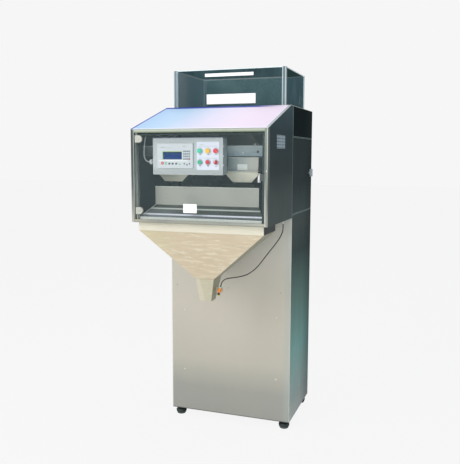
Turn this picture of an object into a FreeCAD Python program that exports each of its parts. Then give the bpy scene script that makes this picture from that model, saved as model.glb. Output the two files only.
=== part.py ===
import FreeCAD, Part
import math
import os
import re
import Sketcher

# Weighing filling machine: a free-standing sheet-steel column with a weighing head,
# a clear supply hopper on top and a filling funnel below. Millimetres, +Z up.
# The origin is on the floor under the middle of the machine. X runs to the viewer's
# right, Y runs backwards, and y = 0 is the front face of the column.

SIZES = {
    # Column
    "col_width": 700,
    "col_depth": 470,
    "col_bottom": 45,
    "col_top": 1770,
    "sheet": 2,
    "pan_depth": 18,
    "side_door_depth": 14,
    "seam": 3,
    "tube": 30,
    "frame_inset": 18,
    "socket_wide": 36,
    "socket_thick": 5,
    "deck_rib": 8,
    "door_drop": 538,
    "door_height": 376,
    "shelf_drop": 470,
    "shelf_plate": 4,
    "shelf_tail": 86,
    "brace_height": 270,
    "brace_high": 620,
    "screw_in": 78,
    "screw_radius": 5,
    "screw_proud": 2.5,
    "vent_width": 180,
    "vent_rise": 60,
    "vent_pitch": 16,
    "vent_slot": 5,
    # Levelling feet
    "foot_radius": 30,
    "foot_height": 32,
    "foot_inset": 38,
    "stud_radius": 6,
    "nut_radius": 10,
    "nut_height": 7,
    # Weighing head
    "head_reach": 470,
    "head_height": 588,
    "slope_drop": 131,
    "cover_step": 3,
    "ridge_back": 50,
    "frame_rim": 17,
    "frame_depth": 25,
    "flange_wide": 17,
    "flange_thick": 6,
    "sill_height": 15,
    "lintel_height": 17,
    "floor_margin": 15,
    "catch_rise": 213,
    "catch_tall": 30,
    "catch_wide": 26,
    "catch_gap": 1.5,
    # Glass door of the head
    "glass": 5,
    "glass_set": 6,
    "door_gap": 3,
    "door_pivot_in": 6,
    "clamp_width": 38,
    "clamp_height": 35,
    "clamp_proud": 3,
    "clamp_core": 12,
    "clamp_low_rise": 22,
    "clamp_high_drop": 9,
    "door_pin_radius": 3,
    "pin_seat": 8,
    "pin_play": 0.05,
    # Side door and its latch
    "side_pin_radius": 2.5,
    "side_pin_in": 6,
    "latch_in": 58,
    "latch_drop": 7,
    "latch_tall": 44,
    "latch_wide": 14,
    "latch_proud": 20,
    "latch_boss": 11,
    "boss_thick": 3,
    "spindle_radius": 4,
    "cam_length": 24,
    "cam_wide": 14,
    "cam_heel": 8,
    "cam_thick": 3,
    "strike_wide": 18,
    "strike_tall": 40,
    # Cross members
    "beam_gap": 5,
    "beam_tall": 51,
    "beam_depth": 18,
    "pad_thick": 8,
    "beam_pad_width": 40,
    "beam_pad_in_left": 40,
    "beam_pad_in_right": 42,
    "beam_pad_edge": 4,
    "weigher_bar": 40,
    "bar_wall": 3,
    "weigher_bar_drop": 58,
    # Weigh buckets
    "bucket_in": 166,
    "bucket_width": 158,
    "bucket_depth": 130,
    "bucket_set": 15,
    "bucket_drop": 267,
    "bucket_side": 66,
    "bucket_taper": 56,
    "tip_width": 90,
    "tip_depth": 3,
    "bucket_wall": 2,
    "flap_lip": 13,
    "tip_lap": 2,
    "flap_gap": 0.4,
    "flap_notch": 9,
    "hinge_out": 5.5,
    "web_lap": 2.5,
    "hinge_radius": 4.5,
    "flap_pin_radius": 2.5,
    "lug_height": 18,
    "lever_length": 26,
    "lever_tilt": 25,
    "lever_thick": 3,
    "lever_width": 9,
    "lever_gap": 1.8,
    "slot_play": 0.4,
    "drive_pin_radius": 2,
    "drive_pin_gap": 0.8,
    "drive_tab_thick": 3,
    "drive_tab_depth": 20,
    "plunger_radius": 2.5,
    "plunger_play": 0.05,
    "plunger_rest": 8,
    "eye_size": 8,
    "solenoid_radius": 8,
    "solenoid_length": 46,
    "solenoid_crown": 4,
    "solenoid_stud": 3,
    "solenoid_nut": 6,
    "solenoid_nut_height": 4,
    "plunger_out": 10.5,
    # Load cells
    "cell_width": 22,
    "cell_height": 28,
    "cell_length": 130,
    "cell_eye": 7.5,
    "cell_eye_pitch": 36,
    "cell_neck": 8,
    "cell_foot": 38,
    "cell_gap": 10,
    "spacer": 4,
    "hanger_plate": 4,
    "hanger_wide": 60,
    "hanger_rise": 6,
    "hanger_drop": 4,
    "hook_length": 48,
    # Vibratory feeders
    "tray_width": 130,
    "tray_height": 44,
    "tray_rise": 9,
    "tray_lap": 35,
    "tray_tail": 58,
    "tray_wall": 2,
    "tray_lip": 6,
    "tray_nose": 45,
    "spring_lean": 15,
    "spring_thick": 3,
    "spring_bar": 5,
    "spring_bar_height": 14,
    "spring_bar_in": 4,
    "spring_in": 8,
    "spring_rise": 8,
    "spring_drop": 6,
    "feeder_width": 110,
    "feeder_length": 180,
    "feeder_front": 24,
    "feeder_height": 42,
    "keel_height": 30,
    "keel_wall": 12,
    "keel_top": 4,
    "keel_hole_in": 80,
    "keel_hole_length": 100,
    "mount_radius": 14,
    "mount_height": 22,
    "mount_in": 24,
    "mount_side": 20,
    "coil_width": 60,
    "coil_length": 54,
    "coil_gap": 2.5,
    "coil_in": 100,
    "core_in": 6,
    "winding_out": 5,
    "winding_gap": 10,
    "armature_height": 14,
    # Supply hopper and its chutes
    "hopper_in": 35,
    "hopper_front": 30,
    "hopper_rest": 64,
    "hopper_height": 198,
    "acrylic": 5,
    "post": 20,
    "chute_in": 23,
    "chute_ahead": 8,
    "chute_behind": 10,
    "outlet": 100,
    "outlet_front": 130,
    "outlet_rise": 33,
    "neck_height": 25,
    # Collecting chute and splash plate
    "collector_in": 80,
    "collector_ahead": 22,
    "collector_depth": 157,
    "throat_set": 105,
    "collector_drop": 36,
    "collector_tail": 10,
    "throat_rise": 30,
    "splash_side": 4,
    "splash_rise": 12,
    "splash_fold_rise": 82,
    "splash_sheet": 1.5,
    "apron_setback": 29,
    "apron_rise": 31,
    # Filling funnel and spout
    "rim_in": 25,
    "rim_setback": 25,
    "rim_depth": 202,
    "rim_height": 42,
    "funnel_wall": 2,
    "funnel_height": 282,
    "throat_width": 97,
    "throat_in": 68,
    "throat_depth": 111,
    "spout_length": 114,
    "mouth_width": 62,
    "mouth_in": 11,
    "mouth_depth": 62,
    # Bag sensor on the spout
    "sensor_width": 12,
    "sensor_ahead": 6,
    "sensor_back": 8,
    "sensor_lean": 15,
    "sensor_out": 37,
    "sensor_rise": 40,
    "sensor_tall": 26,
    "sensor_in": 36,
    "plug_height": 6,
    "neck_radius": 5,
    "sensor_neck": 18,
    "sensor_nut": 7.5,
    "sensor_nut_height": 5,
    "sensor_nut_drop": 12,
    "arm_lap": 14,
    "arm_reach": 9,
    # Control box
    "box_in": 95,
    "box_width": 367,
    "box_drop": 173,
    "box_tall": 179,
    "box_setback": 50,
    "box_depth": 62,
    "lid_lip": 16,
    "lid_play": 0.3,
    "unit_in": 27,
    "switch_bay": 152,
    "unit_rise": 32,
    "unit_tall": 117,
    "unit_corner": 3,
    "unit_margin": 7,
    "unit_play": 1,
    "bezel": 7,
    "unit_body_depth": 42,
    "display_in": 27,
    "keys_width": 57,
    "display_rise": 42,
    "display_tall": 39,
    "display_recess": 2,
    "switch_in": 35,
    "switch_pitch": 41,
    "lamp_rise": 115,
    "switch_rise": 61,
    "switch_hole_radius": 11.2,
    "collar_radius": 14,
    "collar_height": 3,
    "button_radius": 9.6,
    "button_proud": 8,
    "button_play": 0.3,
    "button_depth": 22,
    "button_stem": 18,
    "lamp_radius": 11.5,
    "lamp_proud": 11,
    "knob_proud": 17,
    "knob_disc_proud": 6,
    "knob_grip": 6,
    "knob_span": 18,
    "knob_round": 2,
    "gland_radius": 8,
    "gland_length": 33,
    "gland_tail": 18,
    "gland_nut_height": 6,
    "gland_in": 30,
    "floor_gland_in": 16,
    "floor_gland_forward": 124,
    "floor_hole": 5,
    "floor_nut": 9,
    "side_gland_drop": 150,
    "side_gland_in": 10,
    # Housings of the drives inside the column
    "power_in": 100,
    "power_width": 120,
    "power_depth": 90,
    "power_height": 180,
    "drive_gap": 30,
    "drive_width": 140,
    "drive_depth": 60,
    "drive_height": 140,
    "drive_rise": 108,
    # Cables
    "grey_cable": 7,
    "black_cable": 5,
}

# Levels and distances that follow from the sizes. The head hangs from the column's top,
# its inside follows its front, and the funnel follows its floor.
PLACES = {
    "door_low": "col_top - door_drop",
    "door_high": "door_low + door_height",
    "shelf_top": "col_top - shelf_drop",
    "shelf_back": "feeder_front + feeder_length + shelf_tail",
    "head_bottom": "col_top - head_height",
    "head_eave": "col_top - slope_drop",
    "latch_back": "col_depth - latch_in",
    "latch_height": "(door_low + door_high) / 2 - latch_drop",
    "box_front": "head_reach - box_setback",
    "beam_front": "box_front - box_depth - pad_thick",
    "beam_low": "bucket_top + beam_gap",
    "beam_high": "beam_low + beam_tall",
    "bucket_offset": "col_width / 2 - bucket_in",
    "bucket_front": "beam_front - bucket_set",
    "bucket_top": "col_top - bucket_drop",
    "bucket_fold": "bucket_top - bucket_side",
    "bucket_tip": "bucket_fold - bucket_taper",
    "weigher_bar_back": "bucket_front - bucket_depth - cell_gap - cell_length",
    "weigher_bar_top": "bucket_top - weigher_bar_drop",
    "tray_floor": "bucket_top + tray_rise",
    "tray_front": "bucket_front - tray_lap",
    "tray_back": "feeder_front + feeder_length + tray_tail",
    "hopper_width": "col_width - 2 * hopper_in",
    "hopper_back": "col_depth - hopper_rest",
    "hopper_top": "col_top + hopper_height",
    "chute_span": "hopper_width / 2 - chute_in",
    "chute_front": "hopper_front - chute_ahead",
    "chute_back": "hopper_back - chute_behind",
    "outlet_low": "tray_floor + outlet_rise",
    "neck_top": "outlet_low + neck_height",
    "collector_width": "col_width - 2 * collector_in",
    "collector_front": "bucket_front + collector_ahead",
    "collector_back": "collector_front - collector_depth",
    "collector_throat": "collector_front - throat_set",
    "collector_top": "bucket_tip - collector_drop",
    "splash_width": "collector_width + 2 * splash_side",
    "splash_top": "collector_top + splash_rise",
    "splash_fold": "head_bottom + splash_fold_rise",
    "apron_front": "head_reach - apron_setback",
    "apron_low": "head_bottom + apron_rise",
    "rim_width": "col_width - 2 * rim_in",
    "rim_front": "head_reach - rim_setback",
    "rim_back": "rim_front - rim_depth",
    "throat_level": "head_bottom - funnel_height",
    "throat_front": "rim_front - throat_in",
    "throat_back": "throat_front - throat_depth",
    "spout_low": "throat_level - spout_length",
    "mouth_front": "throat_front - mouth_in",
    "mouth_back": "mouth_front - mouth_depth",
    "sensor_x": "mouth_width / 2 + sensor_out",
    "sensor_low": "spout_low + sensor_rise",
    "sensor_high": "sensor_low + sensor_tall",
    "sensor_depth": "mouth_front - sensor_in",
    "plug_top": "sensor_high + plug_height",
    "box_left": "col_width / 2 - box_in",
    "box_right": "box_width - box_left",
    "box_high": "col_top - box_drop",
    "box_low": "box_high - box_tall",
    "unit_left": "box_left - unit_in",
    "unit_right": "switch_bay - box_right",
    "unit_low": "box_low + unit_rise",
    "unit_high": "unit_low + unit_tall",
    "display_left": "unit_left - display_in",
    "display_right": "unit_right + keys_width",
    "display_low": "unit_low + display_rise",
    "display_high": "display_low + display_tall",
    "switch_first": "2 * switch_pitch + switch_in - box_right",
    "lamp_level": "box_low + lamp_rise",
    "switch_level": "box_low + switch_rise",
    "gland_level": "box_low + switch_rise",
    "gland_depth": "box_front - gland_in",
    "floor_gland_across": "col_width / 2 - floor_gland_in",
    "side_gland_across": "frame_inset + side_gland_in - col_width / 2",
    "side_gland_level": "col_top - side_gland_drop",
}

# Routes of the two cables, from one gland to the other.
GREY_ROUTE = [
    (-288, -390, 1479), (-299, -390, 1480), (-309, -390, 1486), (-316, -390, 1497),
    (-319, -390, 1513), (-319, -390, 1541), (-316, -389, 1573), (-317, -377, 1602),
    (-320, -350, 1620), (-322, -312, 1625), (-321, -262, 1618), (-319, -205, 1611),
    (-319, -148, 1609), (-320, -95, 1612), (-322, -55, 1618), (-322, -18, 1620),
]
BLACK_ROUTE = [
    (68, -330, 858), (71.3, -330, 870.3), (75.5, -329, 881.5), (86, -327, 892.5),
    (103, -324, 900), (128, -320, 904), (160, -310, 909), (192, -298, 918),
    (218, -287, 934), (240, -271, 955), (257, -254, 980), (281, -230, 1018),
    (306, -203, 1055), (325, -177, 1086), (334, -155, 1110), (336, -139, 1126),
    (335, -129, 1138), (334, -124, 1151), (334, -124, 1164),
]

doc = FreeCAD.newDocument("weighing_filling_machine")
table = doc.addObject("Spreadsheet::Sheet", "Sizes")
for row, (alias, size) in enumerate(SIZES.items(), start=1):
    table.set(f"A{row}", str(size))
    table.setAlias(f"A{row}", alias)
doc.recompute()
probe = doc.addObject("App::FeaturePython", "probe")
nodes = []

ROLES = {"XY": "XY_Plane", "XZ": "XZ_Plane", "YZ": "YZ_Plane"}
TURNS = {
    "x": FreeCAD.Rotation(FreeCAD.Vector(0, 1, 0), 90),
    "y": FreeCAD.Rotation(FreeCAD.Vector(1, 0, 0), -90),
    "z": FreeCAD.Rotation(),
}


def bind(text):
    """The expression with every place written out and every size name pointed at the
    spreadsheet."""
    def point(match):
        word = match.group(0)
        if word in PLACES:
            return f"({bind(PLACES[word])})"
        return "Sizes." + word if word in SIZES else word
    return re.sub(r"[a-z][a-z_0-9]*", point, str(text))


def value(text):
    """The present value of an expression, in millimetres."""
    return float(probe.evalExpression(bind(text)))


def keep(piece, label):
    """Marks a finished piece as one of the machine's nodes."""
    piece.Label = label
    nodes.append(piece)
    return piece


def origin_plane(body, plane):
    for feature in body.Origin.OriginFeatures:
        if feature.Role == ROLES[plane]:
            return feature
    raise ValueError(plane)


def new_sketch(body, plane, level, name):
    """A sketch on one of the body's own planes, moved to a level along its normal."""
    sketch = body.newObject("Sketcher::SketchObject", name)
    sketch.AttachmentSupport = [(origin_plane(body, plane), "")]
    sketch.MapMode = "FlatFace"
    sign = "-" if plane == "XZ" else ""
    sketch.setExpression("AttachmentOffset.Base.z", bind(f"{sign}({level})"))
    return sketch


def place_point(sketch, geometry, end, across, up):
    """Ties one point of a sketch to two expressions."""
    for kind, text in (("DistanceX", across), ("DistanceY", up)):
        index = sketch.addConstraint(
            Sketcher.Constraint(kind, -1, 1, geometry, end, value(text)))
        sketch.setExpression(f"Constraints[{index}]", bind(text))


def draw_outline(sketch, points):
    """A closed outline of straight lines through points given as pairs of expressions."""
    spots = [FreeCAD.Vector(value(across), value(up), 0) for across, up in points]
    count = len(points)
    for i in range(count):
        sketch.addGeometry(Part.LineSegment(spots[i], spots[(i + 1) % count]), False)
    for i in range(count):
        sketch.addConstraint(Sketcher.Constraint("Coincident", i, 2, (i + 1) % count, 1))
    for i, (across, up) in enumerate(points):
        place_point(sketch, i, 1, across, up)


def draw_circle(sketch, across, up, radius):
    centre = FreeCAD.Vector(value(across), value(up), 0)
    circle = Part.Circle(centre, FreeCAD.Vector(0, 0, 1), value(radius))
    geometry = sketch.addGeometry(circle, False)
    place_point(sketch, geometry, 3, across, up)
    index = sketch.addConstraint(Sketcher.Constraint("Radius", geometry, value(radius)))
    sketch.setExpression(f"Constraints[{index}]", bind(radius))


def corners(left, low, right, high):
    """The four corners of an upright rectangle in a sketch."""
    return [(left, low), (right, low), (right, high), (left, high)]


def padded(name, plane, points, start, depth):
    """A body padded from an outline: it spans start to start + depth along the axis."""
    body = doc.addObject("PartDesign::Body", name)
    level = f"({start}) + ({depth})" if plane == "XZ" else start
    sketch = new_sketch(body, plane, level, name + "_outline")
    draw_outline(sketch, points)
    pad = body.newObject("PartDesign::Pad", name + "_pad")
    pad.Profile = sketch
    pad.setExpression("Length", bind(depth))
    body.Tip = pad
    sketch.Visibility = False
    return body


def pocket(body, plane, start, depth, outlines=(), circles=()):
    """Cuts outlines and round holes through start to start + depth."""
    level = start if plane == "XZ" else f"({start}) + ({depth})"
    name = f"{body.Name}_cut_{len(body.Group)}"
    sketch = new_sketch(body, plane, level, name + "_outline")
    for points in outlines:
        first = sketch.GeometryCount
        spots = [FreeCAD.Vector(value(across), value(up), 0) for across, up in points]
        count = len(points)
        for i in range(count):
            sketch.addGeometry(Part.LineSegment(spots[i], spots[(i + 1) % count]), False)
        for i in range(count):
            following = first + (i + 1) % count
            sketch.addConstraint(
                Sketcher.Constraint("Coincident", first + i, 2, following, 1))
        for i, (across, up) in enumerate(points):
            place_point(sketch, first + i, 1, across, up)
    for across, up, radius in circles:
        draw_circle(sketch, across, up, radius)
    cut_feature = body.newObject("PartDesign::Pocket", name)
    cut_feature.Profile = sketch
    cut_feature.setExpression("Length", bind(depth))
    body.Tip = cut_feature
    return body


def revolved(name, points, along, centre):
    """A body turned about an axis. points are (radius, height) pairs of expressions."""
    body = doc.addObject("PartDesign::Body", name)
    sketch = new_sketch(body, "XZ", "0", name + "_outline")
    draw_outline(sketch, points)
    turn = body.newObject("PartDesign::Revolution", name + "_turn")
    turn.Profile = sketch
    turn.ReferenceAxis = (sketch, ["V_Axis"])
    turn.Angle = 360
    body.Tip = turn
    body.Placement = FreeCAD.Placement(FreeCAD.Vector(), TURNS[along])
    place(body, centre)
    return body


def place(piece, spot):
    for axis, text in zip("xyz", spot):
        piece.setExpression(f"Placement.Base.{axis}", bind(text))
    return piece


def block(name, low, high):
    """A rectangular block between two corners given as expressions."""
    solid = doc.addObject("Part::Box", name)
    for size, first, last in zip(("Length", "Width", "Height"), low, high):
        solid.setExpression(size, bind(f"({last}) - ({first})"))
    return place(solid, low)


def rod(name, base, along, radius, length):
    """A round bar from base, running along +x, +y or +z."""
    solid = doc.addObject("Part::Cylinder", name)
    solid.setExpression("Radius", bind(radius))
    solid.setExpression("Height", bind(length))
    solid.Placement = FreeCAD.Placement(FreeCAD.Vector(), TURNS[along])
    return place(solid, base)


def rounded(name, piece, edges, radius):
    """The piece with some of its edges rounded. The edges are given by their numbers and
    the radius as an expression."""
    result = doc.addObject("Part::Fillet", name)
    doc.recompute()
    result.Base = piece
    result.Edges = [(number, value(radius), value(radius)) for number in edges]
    return result


def hexagon(name, base, radius, height):
    solid = doc.addObject("Part::Prism", name)
    solid.Polygon = 6
    solid.setExpression("Circumradius", bind(radius))
    solid.setExpression("Height", bind(height))
    return place(solid, base)


def taper(name, low_level, low_box, high_level, high_box):
    """A four-sided taper between two upright levels. A box is (left, right, front, back)
    with front and back measured forwards from y = 0."""
    solid = doc.addObject("Part::Wedge", name)
    solid.Placement = FreeCAD.Placement(
        FreeCAD.Vector(), FreeCAD.Rotation(FreeCAD.Vector(1, 0, 0), 90))
    left, right, front, back = low_box
    left_up, right_up, front_up, back_up = high_box
    bounds = {
        "Ymin": low_level, "Ymax": high_level,
        "Xmin": left, "Xmax": right, "Zmin": back, "Zmax": front,
        "X2min": left_up, "X2max": right_up, "Z2min": back_up, "Z2max": front_up,
    }
    for side, text in bounds.items():
        solid.setExpression(side, bind(text))
    return solid


def fused(name, *pieces):
    joint = doc.addObject("Part::MultiFuse", name)
    joint.Shapes = list(pieces)
    joint.Refine = True
    return joint


def cut(name, base, *tools):
    result = doc.addObject("Part::Cut", name)
    result.Base = base
    result.Tool = tools[0] if len(tools) == 1 else fused(name + "_tools", *tools)
    return result


def common(name, *pieces):
    result = doc.addObject("Part::MultiCommon", name)
    result.Shapes = list(pieces)
    return result


def grouped(name, pieces):
    """Separate solids that share one node."""
    result = doc.addObject("Part::Compound", name)
    result.Links = list(pieces)
    return result


def mirrored(name, source):
    """The same piece on the other side of the machine's middle plane."""
    result = doc.addObject("Part::Mirroring", name)
    result.Source = source
    result.Normal = (1, 0, 0)
    result.Base = (0, 0, 0)
    return result


def grown(box_sides, amount):
    """A box (left, right, front, back) made wider by an amount on each side."""
    left, right, front, back = box_sides
    return (f"({left}) - ({amount})", f"({right}) + ({amount})",
            f"({front}) + ({amount})", f"({back}) - ({amount})")


def cable(name, route, diameter, first, last):
    """A tube along straight runs that are joined by tangent arcs. Its ends stay on the
    first and last place, and the points between them follow."""
    shifts = [FreeCAD.Vector(*(value(text) for text in spot)) - FreeCAD.Vector(*end)
              for spot, end in ((first, route[0]), (last, route[-1]))]
    spots = []
    for i, spot in enumerate(route):
        share = i / (len(route) - 1)
        spots.append(FreeCAD.Vector(*spot) + shifts[0] * (1 - share) + shifts[1] * share)
    radius = value(diameter) / 2
    edges = []
    radii = []
    last = spots[0]
    for i in range(1, len(spots) - 1):
        before = spots[i] - spots[i - 1]
        after = spots[i + 1] - spots[i]
        reach = 0.45 * min(before.Length, after.Length)
        turn = before.getAngle(after)
        bend = reach / math.tan(turn / 2)
        radii.append(bend)
        start = spots[i] - before.normalize() * reach
        end = spots[i] + after.normalize() * reach
        inward = (after - before).normalize()
        centre = spots[i] + inward * (bend / math.cos(turn / 2))
        middle = centre - inward * bend
        edges.append(Part.LineSegment(last, start).toShape())
        edges.append(Part.Arc(start, middle, end).toShape())
        last = end
    edges.append(Part.LineSegment(last, spots[-1]).toShape())
    path = Part.Wire(edges)
    direction = spots[1] - spots[0]
    circle = Part.Circle(spots[0], direction.normalize(), radius)
    profile = Part.Wire([circle.toShape()])
    tube = path.makePipeShell([profile], True, False)
    ideal = math.pi * radius ** 2 * path.Length
    print(f"{name}: length {path.Length:.1f}, least radius {min(radii):.1f}, "
          f"volume ratio {tube.Volume / ideal:.4f}")
    feature = doc.addObject("Part::Feature", name)
    feature.Shape = tube
    return keep(feature, name)


HALF = "col_width / 2"
INNER = "col_width / 2 - sheet"


def pan(name, side, low, high):
    """A folded side panel: a flat sheet with four return lips turned inwards that reach
    the welded frame."""
    outer = f"{side} * col_width / 2"
    start = f"{outer} - pan_depth" if side > 0 else outer
    body = padded(name, "YZ", corners("sheet", low, "col_depth - sheet", high),
                  start, "pan_depth")
    inside = start if side > 0 else f"({start}) + sheet"
    pocket(body, "YZ", inside, "pan_depth - sheet",
           [corners("2 * sheet", f"({low}) + sheet", "col_depth - 2 * sheet",
                    f"({high}) - sheet")])
    return body


def make_column():
    """Welded frame, panels and deck of the column."""
    outer = "(col_width / 2 - frame_inset)"
    front, back = "sheet", "col_depth - sheet"
    foot, head = "col_bottom", "col_top - sheet"
    bars = []
    for side in (-1, 1):
        left = f"{outer} - tube" if side > 0 else f"-{outer}"
        right = outer if side > 0 else f"-{outer} + tube"
        for name, near in (("front", front), ("back", f"{back} - tube")):
            bars.append(block(f"upright_{name}_{side + 1}", (left, near, foot),
                              (right, f"{near} + tube", head)))
        for name, level in (("foot", foot), ("shelf", "shelf_top - shelf_plate - tube"),
                            ("head", f"{head} - tube")):
            bars.append(block(f"side_bar_{name}_{side + 1}",
                              (left, f"{front} + tube", level),
                              (right, f"{back} - tube", f"{level} + tube")))
    inner = f"{outer} - tube"
    for name, near, level in (
            ("front_foot", front, foot), ("front_low", front, "brace_height"),
            ("front_high", front, "brace_high"), ("front_head", front, "head_bottom - tube"),
            ("back_foot", f"{back} - tube", foot), ("back_low", f"{back} - tube", "brace_high"),
            ("back_head", f"{back} - tube", f"{head} - tube")):
        bars.append(block("cross_bar_" + name, (f"-({inner})", near, level),
                          (inner, f"{near} + tube", f"{level} + tube")))
    strike_back = "col_depth - sheet - tube"
    bars.append(block("latch_strike", (f"{outer} - sheet", f"{strike_back} - strike_wide",
                                       "latch_height - strike_tall / 2"),
                      (outer, strike_back, "latch_height + strike_tall / 2")))
    for side in (-1, 1):
        for near in ("foot_inset", "col_depth - foot_inset"):
            spot = f"{side} * (col_width / 2 - foot_inset)"
            plate = block(f"foot_plate_{len(bars)}",
                          (f"{spot} - socket_wide / 2", f"{near} - socket_wide / 2",
                           "col_bottom - socket_thick"),
                          (f"{spot} + socket_wide / 2", f"{near} + socket_wide / 2", "col_bottom"))
            hole = rod(f"foot_hole_{len(bars)}", (spot, near, "col_bottom - socket_thick - 1"),
                       "z", "stud_radius", "socket_thick + 3")
            bars.append(cut(f"foot_socket_{len(bars)}", plate, hole))
    keep(grouped("frame_group", bars), "column_frame")

    panel = padded("front_panel_body", "XZ",
                   corners(f"-{HALF}", "col_bottom", HALF, "head_bottom - sheet"), "0", "sheet")
    pocket(panel, "XZ", "0", "sheet",
           circles=[(f"{side} * (col_width / 2 - screw_in)", level, "screw_radius * 0.44")
                    for side in (-1, 1)
                    for level in ("brace_height + tube / 2", "brace_high + tube / 2")])
    keep(panel, "column_front_panel")
    keep(pan("left_pan", -1, "col_bottom", head), "left_side_panel")
    lower = pan("right_low_pan", 1, "col_bottom", "door_low - seam")
    upper = pan("right_high_pan", 1, "door_high + seam", head)
    pin_x = "(col_width / 2 - side_pin_in)"
    pin_y = "(sheet + seam + side_pin_in)"
    pocket(lower, "XY", "door_low - seam - sheet", "sheet",
           circles=[(pin_x, pin_y, "side_pin_radius")])
    pocket(upper, "XY", "door_high + seam", "sheet",
           circles=[(pin_x, pin_y, "side_pin_radius")])
    keep(lower, "right_side_panel")
    keep(upper, "right_top_panel")
    rear = padded("rear_panel_body", "XZ",
                  corners(f"-{HALF}", "col_bottom", HALF, "col_top - sheet"),
                  "col_depth - sheet", "sheet")
    vents = []
    for i in range(8):
        level = f"brace_high + vent_rise + {i} * vent_pitch"
        vents.append(corners("-vent_width / 2", level, "vent_width / 2",
                             f"{level} + vent_slot"))
    pocket(rear, "XZ", "col_depth - sheet", "sheet", vents)
    keep(rear, "rear_panel")
    screws = []
    for side in (-1, 1):
        for level in ("brace_height + tube / 2", "brace_high + tube / 2"):
            across = f"{side} * (col_width / 2 - screw_in)"
            head_disc = rod(f"screw_head_{len(screws)}", (across, "-screw_proud", level), "y",
                            "screw_radius", "screw_proud")
            domed = rounded(f"screw_dome_{len(screws)}", head_disc, (3,), "screw_proud * 0.64")
            shank = rod(f"screw_shank_{len(screws)}", (across, "-1", level), "y",
                        "screw_radius * 0.4", "sheet + 1")
            screws.append(fused(f"panel_screw_{len(screws)}", domed, shank))
    keep(grouped("screw_group", screws), "panel_screws")

    deck = padded("deck_body", "XY",
                  corners(f"-{HALF}", "-ridge_back", HALF, "col_depth"), "col_top - sheet", "sheet")
    pocket(deck, "XY", "col_top - sheet", "sheet",
           [corners("-chute_span", "-chute_front", "-deck_rib / 2", "chute_back"),
            corners("deck_rib / 2", "-chute_front", "chute_span", "chute_back")])
    keep(deck, "deck_plate")
    shelf = padded("shelf_body", "YZ",
                   [("0", "head_bottom + sheet"), ("sheet", "head_bottom + sheet"),
                    ("sheet", "shelf_top - shelf_plate"),
                    ("shelf_back", "shelf_top - shelf_plate"),
                    ("shelf_back", "shelf_top"), ("0", "shelf_top")],
                   f"-({inner}) + 0.5", f"2 * ({inner}) - 1")
    ears = [block(f"shelf_ear_{i}", (left, "sheet + tube + 1", "shelf_top - shelf_plate"),
                  (right, "shelf_back", "shelf_top"))
            for i, (left, right) in enumerate(((f"-{outer} + 1", f"-({inner}) + 0.5"),
                                               (f"{inner} - 0.5", f"{outer} - 1")))]
    keep(fused("shelf_fused", shelf, *ears), "feeder_shelf")


def make_feet():
    """Rubber-shod levelling feet with threaded studs and lock nuts."""
    pads, studs = [], []
    for side in (-1, 1):
        for near in ("foot_inset", "col_depth - foot_inset"):
            spot = f"{side} * (col_width / 2 - foot_inset)"
            number = len(pads)
            profile = [("0", "0"), ("foot_radius * 0.76", "0"),
                       ("foot_radius * 0.84", "foot_height * 0.1"),
                       ("foot_radius", "foot_height * 0.5"),
                       ("foot_radius", "foot_height * 0.72"),
                       ("foot_radius * 0.9", "foot_height * 0.84"),
                       ("foot_radius * 0.45", "foot_height"), ("0", "foot_height")]
            pads.append(revolved(f"foot_pad_{number}", profile, "z", (spot, near, "0")))
            stud = rod(f"stud_{number}", (spot, near, "foot_height"), "z", "stud_radius",
                       "col_bottom - foot_height")
            studs.append(stud)
            nut = hexagon(f"nut_{number}", (spot, near, "col_bottom - socket_thick - nut_height"),
                          "nut_radius", "nut_height")
            bore = rod(f"nut_bore_{number}", (spot, near, "foot_height"), "z",
                       "stud_radius", "col_bottom - foot_height")
            studs.append(cut(f"lock_nut_{number}", nut, bore))
    keep(grouped("pad_group", pads), "foot_pads")
    keep(grouped("stud_group", studs), "levelling_studs")


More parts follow.
